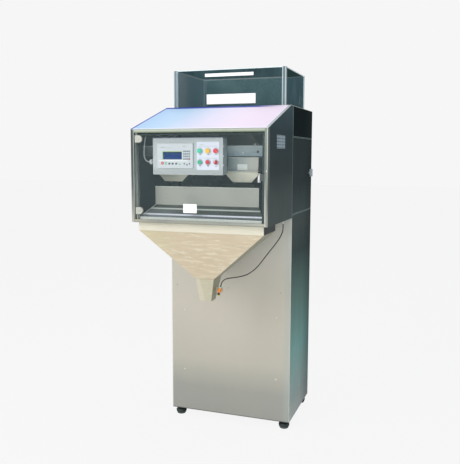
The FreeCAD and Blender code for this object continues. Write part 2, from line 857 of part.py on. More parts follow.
def make_side_door():
    """Service door of the column, its pivot pins and the quarter-turn latch."""
    outer = "col_width / 2"
    start = f"{outer} - side_door_depth"
    front, back = "sheet + seam", "col_depth - sheet - seam"
    door = padded("side_door_body", "YZ", corners(front, "door_low", back, "door_high"),
                  start, "side_door_depth")
    pocket(door, "YZ", start, "side_door_depth - sheet",
           [corners(f"{front} + sheet", "door_low + sheet", f"{back} - sheet",
                    "door_high - sheet")])
    pin_x = "(col_width / 2 - side_pin_in)"
    pin_y = "(sheet + seam + side_pin_in)"
    bore = "side_pin_radius + pin_play"
    pocket(door, "XY", "door_high - sheet", "sheet", circles=[(pin_x, pin_y, bore)])
    pocket(door, "XY", "door_low", "sheet", circles=[(pin_x, pin_y, bore)])
    pocket(door, "YZ", f"{outer} - sheet", "sheet",
           circles=[("latch_back", "latch_height", "spindle_radius + pin_play")])
    keep(door, "side_door")

    boss = rod("latch_boss_disc", (f"{outer} + 0.3", "latch_back", "latch_height"), "x",
               "latch_boss", "boss_thick")
    wing = block("latch_wing", (f"{outer} + boss_thick", "latch_back - latch_wide / 2",
                                "latch_height - latch_tall / 2"),
                 (f"{outer} + latch_proud", "latch_back + latch_wide / 2",
                  "latch_height + latch_tall / 2"))
    grip = rounded("latch_wing_rounded", wing, (1, 3, 5, 7), "latch_wide * 0.32")
    cam_x = f"{outer} - frame_inset - sheet - cam_thick - 1"
    spindle = rod("latch_spindle", (cam_x, "latch_back", "latch_height"), "x",
                  "spindle_radius", f"frame_inset + sheet + cam_thick + 2")
    cam = block("latch_cam", (cam_x, "latch_back - cam_wide / 2", "latch_height - cam_heel"),
                (f"{cam_x} + cam_thick", "latch_back + cam_wide / 2",
                 "latch_height + cam_length"))
    keep(fused("latch_fused", boss, grip, spindle, cam), "side_latch")

    pins = [
        rod("side_pin_low", (pin_x, pin_y, "door_low - seam - sheet"), "z",
            "side_pin_radius", "seam + 3 * sheet"),
        rod("side_pin_high", (pin_x, pin_y, "door_high - 2 * sheet"), "z",
            "side_pin_radius", "seam + 3 * sheet"),
    ]
    return pins


def make_head(pins):
    """Housing of the weighing head and its glass door."""
    front = "-head_reach"
    face_back = "(-head_reach + frame_depth)"
    low, high = "head_bottom", "head_eave - cover_step"
    frame = padded("head_frame_body", "XZ", corners(f"-{HALF}", low, HALF, high),
                   front, "frame_depth")
    sill, lintel = "(head_bottom + sill_height)", f"({high} - lintel_height + 1)"
    rim = f"({HALF} - frame_rim)"
    pocket(frame, "XZ", front, "frame_depth - flange_thick", [corners(f"-{rim}", sill, rim, lintel)])
    pocket(frame, "XZ", f"{face_back} - flange_thick", "flange_thick",
           [corners(f"-{rim} + flange_wide", f"{sill} + sill_height * 0.8",
                    f"{rim} - flange_wide", f"{lintel} - lintel_height * 0.7")])
    glass_y = "(-head_reach + glass_set)"
    pane_left = f"(-{rim} + door_gap)"
    pane_right = f"({rim} - door_gap)"
    pane_low = f"({sill} + door_gap)"
    pane_high = f"({lintel} - door_gap)"
    pivot_x = f"({pane_left} + door_pivot_in)"
    pivot_y = f"({glass_y} + glass / 2)"
    pocket(frame, "XY", f"{sill} - pin_seat", "pin_seat", circles=[(pivot_x, pivot_y, "door_pin_radius")])
    pocket(frame, "XY", lintel, "pin_seat", circles=[(pivot_x, pivot_y, "door_pin_radius")])
    keep(frame, "head_frame")
    clamp_top = f"({pane_high} - clamp_high_drop)"
    pins.append(rod("glass_pin_low", (pivot_x, pivot_y, f"{sill} - pin_seat"), "z",
                    "door_pin_radius", "door_gap + clamp_low_rise + 2 * pin_seat"))
    pins.append(rod("glass_pin_high", (pivot_x, pivot_y, f"{clamp_top} - pin_seat"), "z",
                    "door_pin_radius", "door_gap + clamp_high_drop + 2 * pin_seat"))
    keep(grouped("pin_group", pins), "pivot_pins")

    pane = padded("pane_body", "XZ", corners(pane_left, pane_low, pane_right, pane_high),
                  glass_y, "glass")
    core = f"({pane_left} + clamp_core)"
    bend = f"({pane_left} + clamp_width - clamp_height / 2)"
    clamps = []
    for name, clamp_low, notch_low, notch_high, bore_low in (
            ("low", f"({pane_low} + clamp_low_rise)", pane_low,
             f"{pane_low} + clamp_low_rise + clamp_height", f"{pane_low} + clamp_low_rise - 1"),
            ("high", f"({clamp_top} - clamp_height)", f"{clamp_top} - clamp_height",
             pane_high, f"{clamp_top} - pin_seat - 1")):
        pocket(pane, "XZ", glass_y, "glass", [corners(pane_left, notch_low, core, notch_high)])
        near, far = f"{glass_y} - clamp_proud", f"{glass_y} + glass + clamp_proud"
        plate = block(f"clamp_{name}_plate", (pane_left, near, clamp_low),
                      (bend, far, f"{clamp_low} + clamp_height"))
        nose = rod(f"clamp_{name}_nose", (bend, near, f"{clamp_low} + clamp_height / 2"), "y",
                   "clamp_height / 2", "glass + 2 * clamp_proud")
        slot = block(f"clamp_{name}_slot", (core, glass_y, f"{clamp_low} - 1"),
                     (f"{pane_left} + clamp_width + 1", f"{glass_y} + glass",
                      f"{clamp_low} + clamp_height + 1"))
        bore = rod(f"clamp_{name}_bore", (pivot_x, pivot_y, bore_low), "z",
                   "door_pin_radius + pin_play", "pin_seat + 2")
        clamps.append(cut(f"clamp_{name}", fused(f"clamp_{name}_solid", plate, nose), slot, bore))
    keep(pane, "glass_door")
    keep(grouped("clamp_group", clamps), "door_clamps")
    keep(block("catch_body", (f"{rim} - catch_wide", f"{glass_y} + glass + catch_gap",
                              "head_bottom + catch_rise"),
               (rim, f"{face_back} - flange_thick", "head_bottom + catch_rise + catch_tall")),
         "door_catch")

    slope_rise = "(col_top - head_eave)"
    slope_run = "(head_reach - ridge_back)"
    drop = f"(sheet * sqrt(1 + pow({slope_rise} / {slope_run}; 2)))"
    under_front = f"(head_eave + {slope_rise} / {slope_run} * frame_depth - {drop})"
    cover = padded("cover_body", "YZ",
                   [("-head_reach", "head_eave"), ("-ridge_back", "col_top"),
                    ("-ridge_back", f"col_top - {drop}"),
                    ("-head_reach", f"head_eave - {drop}")],
                   f"-{HALF}", "col_width")
    keep(cover, "sloped_cover")
    for name, side in (("left", -1), ("right", 1)):
        outer = f"{side} * {HALF}"
        start = f"{outer} - sheet" if side > 0 else outer
        panel = padded(f"head_{name}_body", "YZ",
                       [(face_back, "head_bottom"), ("sheet", "head_bottom"),
                        ("sheet", "col_top - sheet"), ("0", "col_top - sheet"),
                        ("-ridge_back", f"col_top - {drop}"),
                        (face_back, under_front)],
                       start, "sheet")
        lip_left = f"{HALF} - frame_inset - tube" if side > 0 else f"-{HALF} + sheet"
        lip_right = f"{HALF} - sheet" if side > 0 else f"-{HALF} + frame_inset + tube"
        lip = block(f"head_{name}_lip", (lip_left, "0", "head_bottom + sheet"),
                    (lip_right, "sheet", "col_top - sheet"))
        keep(fused(f"head_{name}_fused", panel, lip), f"head_{name}_side")
    floor = padded("floor_body", "XY", corners(f"-({INNER})", face_back, INNER, "0"),
                   "head_bottom", "sheet")
    pocket(floor, "XY", "head_bottom", "sheet",
           [corners("-collector_width / 2", "-(rim_front - floor_margin)", "collector_width / 2",
                    "-collector_throat")])
    pocket(floor, "XY", "head_bottom", "sheet",
           circles=[("floor_gland_across", "-floor_gland_forward", "floor_hole")])
    keep(floor, "head_floor")

    beam_back = "-beam_front + beam_depth"
    web = block("beam_web", (f"-({INNER})", "-beam_front", "beam_low"),
                (INNER, "-beam_front + sheet", "beam_high"))
    top = block("beam_top", (f"-({INNER})", "-beam_front", "beam_high - sheet"),
                (INNER, beam_back, "beam_high"))
    bottom = block("beam_bottom", (f"-({INNER})", "-beam_front", "beam_low"),
                   (INNER, beam_back, "beam_low + sheet"))
    pads = [block(f"beam_pad_{i}", (left, "-box_front + box_depth",
                                      "beam_low + beam_pad_edge"),
                  (f"{left} + beam_pad_width", "-beam_front", "beam_high - beam_pad_edge"))
            for i, left in enumerate(("-box_left + beam_pad_in_left",
                                  "box_right - beam_pad_in_right - beam_pad_width"))]
    keep(fused("beam_fused", web, top, bottom, *pads), "front_crossbeam")
    bar_low = "weigher_bar_top - weigher_bar"
    bar_front = "-weigher_bar_back - weigher_bar"
    outside = block("weigher_bar_out", (f"-({INNER})", bar_front, bar_low),
                    (INNER, "-weigher_bar_back", "weigher_bar_top"))
    inside = block("weigher_bar_in", (f"-({INNER}) - 1", f"{bar_front} + bar_wall",
                                       f"{bar_low} + bar_wall"),
                   (f"{INNER} + 1", "-weigher_bar_back - bar_wall",
                    "weigher_bar_top - bar_wall"))
    keep(cut("weigher_bar_tube", outside, inside), "weigher_crossbar")


def make_weigh_unit():
    """One weigh bucket with its flap, drive and load cell. The unit on the right is built
    and the left one mirrors it."""
    middle = "bucket_offset"
    left = f"({middle} - bucket_width / 2)"
    right = f"({middle} + bucket_width / 2)"
    back = "(bucket_front - bucket_depth)"
    tip_middle = f"({back} + bucket_depth / 2)"
    rise = "(bucket_fold - bucket_tip)"
    run = "(bucket_depth / 2 - tip_depth / 2)"
    skew = f"(sqrt(pow({rise}; 2) + pow({run}; 2)) / {rise})"
    tip = (f"{middle} - tip_width / 2", f"{middle} + tip_width / 2",
           f"{tip_middle} + tip_depth / 2", f"{tip_middle} - tip_depth / 2")
    mouth = (left, right, "bucket_front", back)
    wall = "bucket_wall"

    outer_top = block("bucket_top_out", (left, "-bucket_front", "bucket_fold"),
                      (right, f"-{back}", "bucket_top"))
    outer_low = taper("bucket_low_out", "bucket_tip", tip, "bucket_fold", mouth)
    flap_room = f"(({wall} + flap_gap) * {skew})"
    far = "bucket_width"
    behind_flap = taper(
        "behind_flap", "bucket_tip",
        (f"{middle} - {far}", f"{middle} + {far}",
         f"{tip_middle} + tip_depth / 2 - {flap_room}", f"{back} - 60"),
        "bucket_fold",
        (f"{middle} - {far}", f"{middle} + {far}", f"bucket_front - {flap_room}",
         f"{back} - 60"))
    low_part = common("bucket_low_part", outer_low, behind_flap)
    inner_top = block("bucket_top_in", (f"{left} + {wall}", f"-bucket_front + {wall}",
                                        "bucket_fold - 0.5"),
                      (f"{right} - {wall}", f"-{back} - {wall}", "bucket_top + 1"))
    inner_mouth = (f"{left} + {wall}", f"{right} - {wall}", f"bucket_front + 40",
                   f"{back} + {wall}")
    inner_tip = (f"{middle} - tip_width / 2 + {wall}", f"{middle} + tip_width / 2 - {wall}",
                 f"{tip_middle} + 40", f"{tip_middle} + {wall}")
    inner_low = taper("bucket_low_in", "bucket_tip", inner_tip, "bucket_fold", inner_mouth)
    hinge_y = "(-bucket_front - hinge_out)"
    lugs = []
    for i, lug_left in enumerate((left, f"{right} - {wall}")):
        lugs.append(block(f"lug_{i}", (lug_left, f"{hinge_y} - hinge_radius",
                                       "bucket_fold - lug_height / 2"),
                          (f"{lug_left} + {wall}", "-bucket_front",
                           "bucket_fold + lug_height / 2")))
    bore = rod("lug_bore", (f"{left} - 1", hinge_y, "bucket_fold"), "x",
               "flap_pin_radius + pin_play", f"bucket_width + 2")
    axis_x = f"({left} - plunger_out)"
    pin_y = f"({hinge_y} + lever_length * cos(lever_tilt))"
    tab = block("drive_tab", (f"{axis_x} - solenoid_radius - 1", f"{pin_y} - drive_tab_depth / 2",
                              "bucket_top - drive_tab_thick"),
                (left, f"{pin_y} + drive_tab_depth / 2", "bucket_top"))
    tab_hole = rod("drive_tab_hole", (axis_x, pin_y, "bucket_top - drive_tab_thick - 1"), "z",
                   "solenoid_stud", "drive_tab_thick + 2")
    hanger = block("bucket_hanger", (f"{middle} - hanger_wide / 2", f"-{back}",
                                     "bucket_fold + hanger_rise"),
                   (f"{middle} + hanger_wide / 2", f"-{back} + hanger_plate",
                    "bucket_top - hanger_drop"))
    hook = block("bucket_hook", (f"{middle} - cell_width / 2", f"-{back}",
                                 "weigher_bar_top + spacer + cell_height"),
                 (f"{middle} + cell_width / 2", f"-{back} + hook_length",
                  "weigher_bar_top + spacer + cell_height + hanger_plate"))
    shell = fused("bucket_shell", outer_top, low_part, *lugs, tab, hanger, hook)
    bucket = cut("right_bucket", shell, inner_top, inner_low, bore, tab_hole)
    keep(bucket, "right_weigh_bucket")
    keep(mirrored("left_bucket", bucket), "left_weigh_bucket")

    lip = "flap_lip"
    flap_tip = (f"{tip[0]} - tip_lap", f"{tip[1]} + tip_lap", tip[2], f"{back} - 60")
    flap_mouth = (f"{left} - {lip}", f"{right} + {lip}", "bucket_front", f"{back} - 60")
    flap_out = taper("flap_out", "bucket_tip", flap_tip, "bucket_fold - flap_gap", flap_mouth)
    thickness = f"({wall} * {skew})"
    behind = taper("flap_behind", "bucket_tip - 1",
                   (f"{middle} - {far}", f"{middle} + {far}",
                    f"{tip[2]} - {thickness} - 1 / {rise} * {run}", f"{back} - 80"),
                   "bucket_fold + 1",
                   (f"{middle} - {far}", f"{middle} + {far}",
                    f"bucket_front - {thickness} + 1 / {rise} * {run}", f"{back} - 80"))
    notches = []
    for i, (low_x, high_x) in enumerate(((f"{left} - {lip} - 1", f"{left} + {wall} + flap_gap"),
                                         (f"{right} - {wall} - flap_gap",
                                          f"{right} + {lip} + 1"))):
        notches.append(block(f"flap_notch_{i}", (low_x, "-bucket_front - 20",
                                                 "bucket_fold - flap_notch"),
                             (high_x, f"-{tip_middle}", "bucket_fold + 2")))
    plate = cut("flap_plate", flap_out, behind, *notches)
    knuckle_left = f"({left} + {wall} + flap_gap)"
    knuckle = rod("flap_knuckle", (knuckle_left, hinge_y, "bucket_fold"), "x",
                  "hinge_radius", f"bucket_width - 2 * {wall} - 2 * flap_gap")
    web = block("flap_web", (knuckle_left, hinge_y, "bucket_fold - hinge_radius"),
                (f"{right} - {wall} - flap_gap", "-bucket_front + web_lap",
                 "bucket_fold - flap_gap"))
    shaft_bore = rod("flap_bore", (f"{left} - 2", hinge_y, "bucket_fold"), "x",
                     "flap_pin_radius", "bucket_width + 4")
    flap = cut("right_flap_cut", fused("flap_fused", plate, knuckle, web), shaft_bore)
    keep(flap, "right_flap")
    keep(mirrored("left_flap_mirror", flap), "left_flap")

    lever_x = f"({left} - lever_gap - lever_thick)"
    shaft = rod("flap_shaft_bar", (lever_x, hinge_y, "bucket_fold"), "x", "flap_pin_radius",
                f"bucket_width + lever_gap + lever_thick + 3")
    arm = block("lever_arm", ("0", "0", "-lever_width / 2"),
                ("lever_thick", "lever_length", "lever_width / 2"))
    arm_foot = rod("lever_foot", ("0", "0", "0"), "x", "lever_width / 2 + 1", "lever_thick")
    arm_end = rod("lever_end", ("0", "lever_length", "0"), "x", "lever_width / 2", "lever_thick")
    half_slot = "(drive_pin_radius + slot_play)"
    near_pin = "(lever_length * cos(lever_tilt))"
    slot_block = block("slot_block", ("-1", near_pin, f"-{half_slot}"),
                       ("lever_thick + 1", "lever_length", half_slot))
    slot_near = rod("slot_near", ("-1", near_pin, "0"), "x", half_slot, "lever_thick + 2")
    slot_far = rod("slot_far", ("-1", "lever_length", "0"), "x", half_slot, "lever_thick + 2")
    lever = cut("lever_cut", fused("lever_fused", arm, arm_foot, arm_end),
                slot_block, slot_near, slot_far)
    lever.Placement = FreeCAD.Placement(
        FreeCAD.Vector(), FreeCAD.Rotation(FreeCAD.Vector(1, 0, 0), value("lever_tilt")))
    lever.setExpression("Placement.Rotation.Angle", bind("lever_tilt"))
    place(lever, (lever_x, hinge_y, "bucket_fold"))
    crank = fused("right_crank", shaft, lever)
    keep(crank, "right_flap_shaft")
    keep(mirrored("left_crank", crank), "left_flap_shaft")

    pin_z = "(bucket_fold + lever_length * sin(lever_tilt))"
    solenoid_low = "(bucket_top - drive_tab_thick - solenoid_length)"
    plunger = rod("plunger_bar", (axis_x, pin_y, pin_z), "z", "plunger_radius",
                  f"bucket_top - plunger_rest - {pin_z}")
    eye = block("plunger_eye", (f"{axis_x} - eye_size / 2", f"{pin_y} - eye_size / 2",
                                f"{pin_z} - eye_size / 2"),
                (f"{axis_x} + eye_size / 2", f"{pin_y} + eye_size / 2",
                 f"{pin_z} + eye_size / 2"))
    pin = rod("plunger_pin", (axis_x, pin_y, pin_z), "x", "drive_pin_radius",
              "plunger_out - drive_pin_gap")
    keep(fused("right_plunger_fused", plunger, eye, pin), "right_plunger")
    keep(mirrored("left_plunger_mirror", doc.getObject("right_plunger_fused")), "left_plunger")
    can = rod("solenoid_can", (axis_x, pin_y, solenoid_low), "z", "solenoid_radius",
              "solenoid_length")
    stud = rod("solenoid_stud_bar", (axis_x, pin_y, "bucket_top - drive_tab_thick"), "z",
               "solenoid_stud", "drive_tab_thick + solenoid_nut_height + 1")
    nut = hexagon("solenoid_hex", (axis_x, pin_y, "bucket_top"), "solenoid_nut",
                  "solenoid_nut_height")
    can_bore = rod("solenoid_bore", (axis_x, pin_y, f"{solenoid_low} - 1"), "z",
                   "plunger_radius + plunger_play", "solenoid_length - solenoid_crown + 1")
    solenoid = cut("solenoid_body", fused("solenoid_fused", can, stud, nut), can_bore)
    keep(grouped("solenoid_group", [solenoid, mirrored("solenoid_mirror", solenoid)]),
         "flap_solenoids")

    cell_low = "weigher_bar_top + spacer"
    cell_front = "(-weigher_bar_back - cell_length)"
    beam = padded("cell_body", "YZ",
                  corners(cell_front, cell_low, "-weigher_bar_back", f"{cell_low} + cell_height"),
                  f"{middle} - cell_width / 2", "cell_width")
    centre = f"({cell_front} + cell_length / 2)"
    pocket(beam, "YZ", f"{middle} - cell_width / 2", "cell_width",
           [corners(f"{centre} - cell_eye_pitch / 2", f"{cell_low} + cell_height / 2 - cell_neck / 2",
                    f"{centre} + cell_eye_pitch / 2",
                    f"{cell_low} + cell_height / 2 + cell_neck / 2")])
    pocket(beam, "YZ", f"{middle} - cell_width / 2", "cell_width",
           circles=[(f"{centre} + {side} * cell_eye_pitch / 2", f"{cell_low} + cell_height / 2",
                     "cell_eye") for side in (-1, 1)])
    foot = block("cell_spacer", (f"{middle} - cell_width / 2", "-weigher_bar_back - cell_foot",
                                 "weigher_bar_top"),
                 (f"{middle} + cell_width / 2", "-weigher_bar_back", cell_low))
    cell = fused("cell_fused", beam, foot)
    keep(grouped("cell_group", [cell, mirrored("cell_mirror", cell)]), "load_cells")


def make_feeder():
    """One vibratory feeder: tray on leaf springs over a coil, on rubber mounts."""
    middle = "bucket_offset"
    lean = "tan(spring_lean)"
    half = "feeder_width / 2"
    base_low = "(shelf_top + mount_height)"
    base_high = f"({base_low} + feeder_height)"
    keel_low = "(tray_floor - keel_height)"

    def shifted(near, level):
        """Front or back end of the feeder at a level: the ends lean back."""
        return f"{near} + ({level} - {base_low}) * {lean}"

    front, back = "feeder_front", "(feeder_front + feeder_length)"
    base = padded("feeder_base_body", "YZ",
                  [(shifted(front, base_low), base_low), (shifted(back, base_low), base_low),
                   (shifted(back, base_high), base_high),
                   (shifted(front, base_high), base_high)],
                  f"{middle} - {half}", "feeder_width")
    keel = padded("keel_body", "YZ",
                  [(shifted(front, keel_low), keel_low), (shifted(back, keel_low), keel_low),
                   (shifted(back, "tray_floor"), "tray_floor"),
                   (shifted(front, "tray_floor"), "tray_floor")],
                  f"{middle} - {half}", "feeder_width")
    pocket(keel, "YZ", f"{middle} - {half} + keel_wall", "feeder_width - 2 * keel_wall",
           [corners("feeder_front + keel_hole_in", f"{keel_low} + keel_wall",
                    "feeder_front + keel_hole_in + keel_hole_length", "tray_floor - keel_top")])
    wall = "tray_wall"
    half_tray = "tray_width / 2"
    trough = padded("tray_body", "YZ",
                    corners("-tray_front", "tray_floor", "tray_back", "tray_floor + tray_height"),
                    f"{middle} - {half_tray}", "tray_width")
    pocket(trough, "YZ", f"{middle} - {half_tray} + {wall}", f"tray_width - 2 * {wall}",
           [corners("-tray_front - 1", f"tray_floor + {wall}", f"tray_back - {wall}",
                    "tray_floor + tray_height + 1")])
    pocket(trough, "YZ", f"{middle} - {half_tray}", "tray_width",
           [[("-tray_front - 1", f"tray_floor + {wall} + tray_lip"),
             ("-tray_front + tray_nose", "tray_floor + tray_height + 1"),
             ("-tray_front - 1", "tray_floor + tray_height + 1")]])
    armature_low = f"({keel_low} - armature_height)"
    armature = block("armature", (f"{middle} - coil_width / 2 + core_in", "feeder_front + coil_in",
                                  armature_low),
                     (f"{middle} + coil_width / 2 - core_in",
                      "feeder_front + coil_in + coil_length",
                      keel_low))
    tray = fused("right_tray", keel, trough, armature)
    keep(tray, "right_feeder_tray")
    keep(mirrored("left_tray", tray), "left_feeder_tray")

    springs = []
    for name, near, step in (("front", front, "-spring_thick / cos(spring_lean)"),
                             ("back", back, "0")):
        low, high = f"({base_low} + spring_rise)", "(tray_floor - spring_drop)"
        lower, upper = shifted(near, low), shifted(near, high)
        thick = "spring_thick / cos(spring_lean)"
        springs.append(padded(f"spring_{name}", "YZ",
                              [(f"{lower} + {step}", low),
                               (f"{lower} + {step} + {thick}", low),
                               (f"{upper} + {step} + {thick}", high),
                               (f"{upper} + {step}", high)],
                              f"{middle} - {half} + spring_in", "feeder_width - 2 * spring_in"))
        outward = f"{lower} + {step} - spring_bar" if name == "front" else f"{lower} + {thick}"
        rise = f"(spring_bar_height * {lean})"
        springs.append(padded(f"spring_bar_{name}", "YZ",
                              [(outward, low), (f"{outward} + spring_bar", low),
                               (f"{outward} + spring_bar + {rise}",
                                f"{low} + spring_bar_height"),
                               (f"{outward} + {rise}", f"{low} + spring_bar_height")],
                              f"{middle} - {half} + spring_bar_in",
                              "feeder_width - 2 * spring_bar_in"))
    springs += [mirrored(f"{leaf.Name}_mirror", leaf) for leaf in list(springs)]
    keep(grouped("spring_group", springs), "leaf_springs")
    keep(grouped("base_group", [base, mirrored("base_mirror", base)]), "feeder_bases")

    coil_high = f"({armature_low} - coil_gap)"
    coil_front = "feeder_front + coil_in"
    core = block("coil_core", (f"{middle} - coil_width / 2 + core_in", coil_front, base_high),
                 (f"{middle} + coil_width / 2 - core_in", f"{coil_front} + coil_length",
                  coil_high))
    winding = block("coil_winding", (f"{middle} - coil_width / 2", f"{coil_front} - winding_out",
                                     f"{base_high} + winding_gap"),
                    (f"{middle} + coil_width / 2", f"{coil_front} + coil_length + winding_out",
                     f"{coil_high} - winding_gap"))
    coil = fused("coil_fused", core, winding)
    keep(grouped("coil_group", [coil, mirrored("coil_mirror", coil)]), "feeder_coils")
    mounts = []
    for side in (-1, 1):
        for near in ("feeder_front + mount_in", "feeder_front + feeder_length - mount_in"):
            mounts.append(rod(f"rubber_mount_{len(mounts)}",
                              (f"{middle} + {side} * (feeder_width / 2 - mount_side)", near,
                               "shelf_top"),
                              "z", "mount_radius", "mount_height"))
    mounts += [mirrored(f"{mount.Name}_mirror", mount) for mount in list(mounts)]
    keep(grouped("mount_group", mounts), "feeder_mounts")


def make_hopper():
    """Clear supply hopper on the deck and the two chutes under it."""
    half = "hopper_width / 2"
    low, high = "col_top", "hopper_top"
    front, back = "-hopper_front", "hopper_back"
    posts = []
    for side in (-1, 1):
        for near, ahead in ((front, 1), (back, -1)):
            outer = f"{side} * {half}"
            number = len(posts)
            points = [(outer, near), (f"{outer} - {side} * post", near),
                      (f"{outer} - {side} * post", f"{near} + {ahead} * sheet"),
                      (f"{outer} - {side} * sheet", f"{near} + {ahead} * sheet"),
                      (f"{outer} - {side} * sheet", f"{near} + {ahead} * post"),
                      (outer, f"{near} + {ahead} * post")]
            posts.append(padded(f"post_{number}", "XY", points, low, f"{high} - {low}"))
    keep(grouped("post_group", posts), "hopper_posts")
    inset = "sheet"
    panels = []
    for name, near in (("front", f"{front} + {inset}"),
                       ("back", f"{back} - {inset} - acrylic")):
        panels.append(block(f"panel_{name}", (f"-{half} + {inset}", near, low),
                            (f"{half} - {inset}", f"{near} + acrylic", high)))
    for name, side in (("left", -1), ("right", 1)):
        start = f"{half} - {inset} - acrylic" if side > 0 else f"-{half} + {inset}"
        panels.append(block(f"panel_{name}", (start, f"{front} + {inset} + acrylic", low),
                            (f"{start} + acrylic", f"{back} - {inset} - acrylic", high)))
    keep(grouped("panel_group", panels), "hopper_panels")

    wall = "sheet"
    top = "col_top - sheet"
    outlet_left = "bucket_offset - outlet / 2"
    outlet_right = "bucket_offset + outlet / 2"
    low_box = (outlet_left, outlet_right, "-outlet_front", "-(outlet_front + outlet)")
    high_box = ("deck_rib / 2 - sheet", "chute_span + sheet", "chute_front + sheet", "-(chute_back + sheet)")
    outer = taper("chute_out", "neck_top", low_box, top, high_box)
    neck = block("chute_neck", (outlet_left, "outlet_front", "outlet_low"),
                 (outlet_right, "outlet_front + outlet", "neck_top"))
    inner = taper("chute_in", "neck_top", grown(low_box, f"-{wall}"), top,
                  grown(high_box, f"-{wall}"))
    neck_in = block("chute_neck_in", (f"{outlet_left} + {wall}", f"outlet_front + {wall}",
                                      "outlet_low - 1"),
                    (f"{outlet_right} - {wall}", f"outlet_front + outlet - {wall}",
                     "neck_top + 0.5"))
    chute = cut("chute", fused("chute_solid", outer, neck), inner, neck_in)
    keep(grouped("chute_group", [chute, mirrored("chute_mirror", chute)]), "hopper_chutes")


def make_collector():
    """Splash plate, collecting chute, filling funnel, spout and bag sensor."""
    half = "splash_width / 2"
    thick = "splash_sheet"
    face = "-collector_front - splash_sheet"
    splash = padded("splash_body", "YZ",
                    [(face, "splash_top"), (face, "splash_fold"),
                     ("-apron_front", "apron_low"), ("-apron_front", "head_bottom + sheet"),
                     (f"-apron_front + {thick}", "head_bottom + sheet"),
                     (f"-apron_front + {thick}", "apron_low - 1"),
                     (f"{face} + {thick}", "splash_fold - 1"),
                     (f"{face} + {thick}", "splash_top")],
                    f"-{half}", "splash_width")
    keep(splash, "splash_plate")
    wide = "collector_width / 2"
    low, high = "(head_bottom - collector_tail)", "collector_top"
    side_profile = [("-collector_front", high), ("-collector_back", high),
                    ("-collector_throat", "head_bottom + throat_rise"), ("-collector_throat", low),
                    ("-collector_front", low)]
    solid = padded("collector_body", "YZ", side_profile, f"-{wide}", "collector_width")
    inner = [("-collector_front - 1", f"{high} + 1"), ("-collector_back - sheet", f"{high} + 1"),
             ("-collector_throat - sheet", "head_bottom + throat_rise"),
             ("-collector_throat - sheet", f"{low} - 1"), ("-collector_front - 1", f"{low} - 1")]
    pocket(solid, "YZ", f"-{wide} + sheet", "collector_width - 2 * sheet", [inner])
    keep(solid, "collecting_chute")

    rim = ("-rim_width / 2", "rim_width / 2", "rim_front", "rim_back")
    throat = ("-throat_width / 2", "throat_width / 2", "throat_front", "throat_back")
    band_low = "(head_bottom - rim_height)"
    wall = "funnel_wall"
    band = block("band", ("-rim_width / 2", "-rim_front", band_low),
                 ("rim_width / 2", "-rim_back", "head_bottom"))
    cone = taper("funnel_out", "throat_level", throat, band_low, rim)
    band_in = block("band_in", (f"-rim_width / 2 + {wall}", f"-rim_front + {wall}",
                                f"{band_low} - 0.5"),
                    (f"rim_width / 2 - {wall}", f"-rim_back - {wall}", "head_bottom + 1"))
    cone_in = taper("funnel_in", "throat_level", grown(throat, f"-{wall}"), band_low,
                    grown(rim, f"-{wall}"))
    keep(cut("funnel_shell", fused("funnel_solid", band, cone), band_in, cone_in), "funnel")

    mouth = ("-mouth_width / 2", "mouth_width / 2", "mouth_front", "mouth_back")
    spout_out = taper("spout_out", "spout_low", mouth, "throat_level", throat)
    spout_in = taper("spout_in", "spout_low", grown(mouth, f"-{wall}"), "throat_level",
                     grown(throat, f"-{wall}"))
    arm = block("sensor_arm", ("throat_width / 2 - arm_lap", "-sensor_depth + sensor_back",
                               "sensor_low"),
                ("sensor_x + arm_reach", "-sensor_depth + sensor_back + sheet", "sensor_high"))
    keep(cut("spout_shell", fused("spout_solid", spout_out, arm), spout_in), "spout")
    body_low = "-plug_height - sensor_tall"
    body = block("sensor_block", ("-sensor_width / 2", "-sensor_ahead", body_low),
                 ("sensor_width / 2", "sensor_back", "-plug_height"))
    neck = rod("sensor_barrel", ("0", "0", f"{body_low} - sensor_neck"), "z", "neck_radius",
               "sensor_neck")
    nut = hexagon("sensor_hex", ("0", "0", f"{body_low} - sensor_nut_drop"), "sensor_nut",
                  "sensor_nut_height")
    plug = rod("sensor_plug", ("0", "0", "-plug_height"), "z", "neck_radius", "plug_height")
    sensor = fused("sensor_fused", body, neck, nut, plug)
    sensor.Placement = FreeCAD.Placement(
        FreeCAD.Vector(), FreeCAD.Rotation(FreeCAD.Vector(0, 1, 0), value("sensor_lean")))
    sensor.setExpression("Placement.Rotation.Angle", bind("sensor_lean"))
    place(sensor, ("sensor_x", "-sensor_depth", "plug_top"))
    keep(sensor, "spout_sensor")


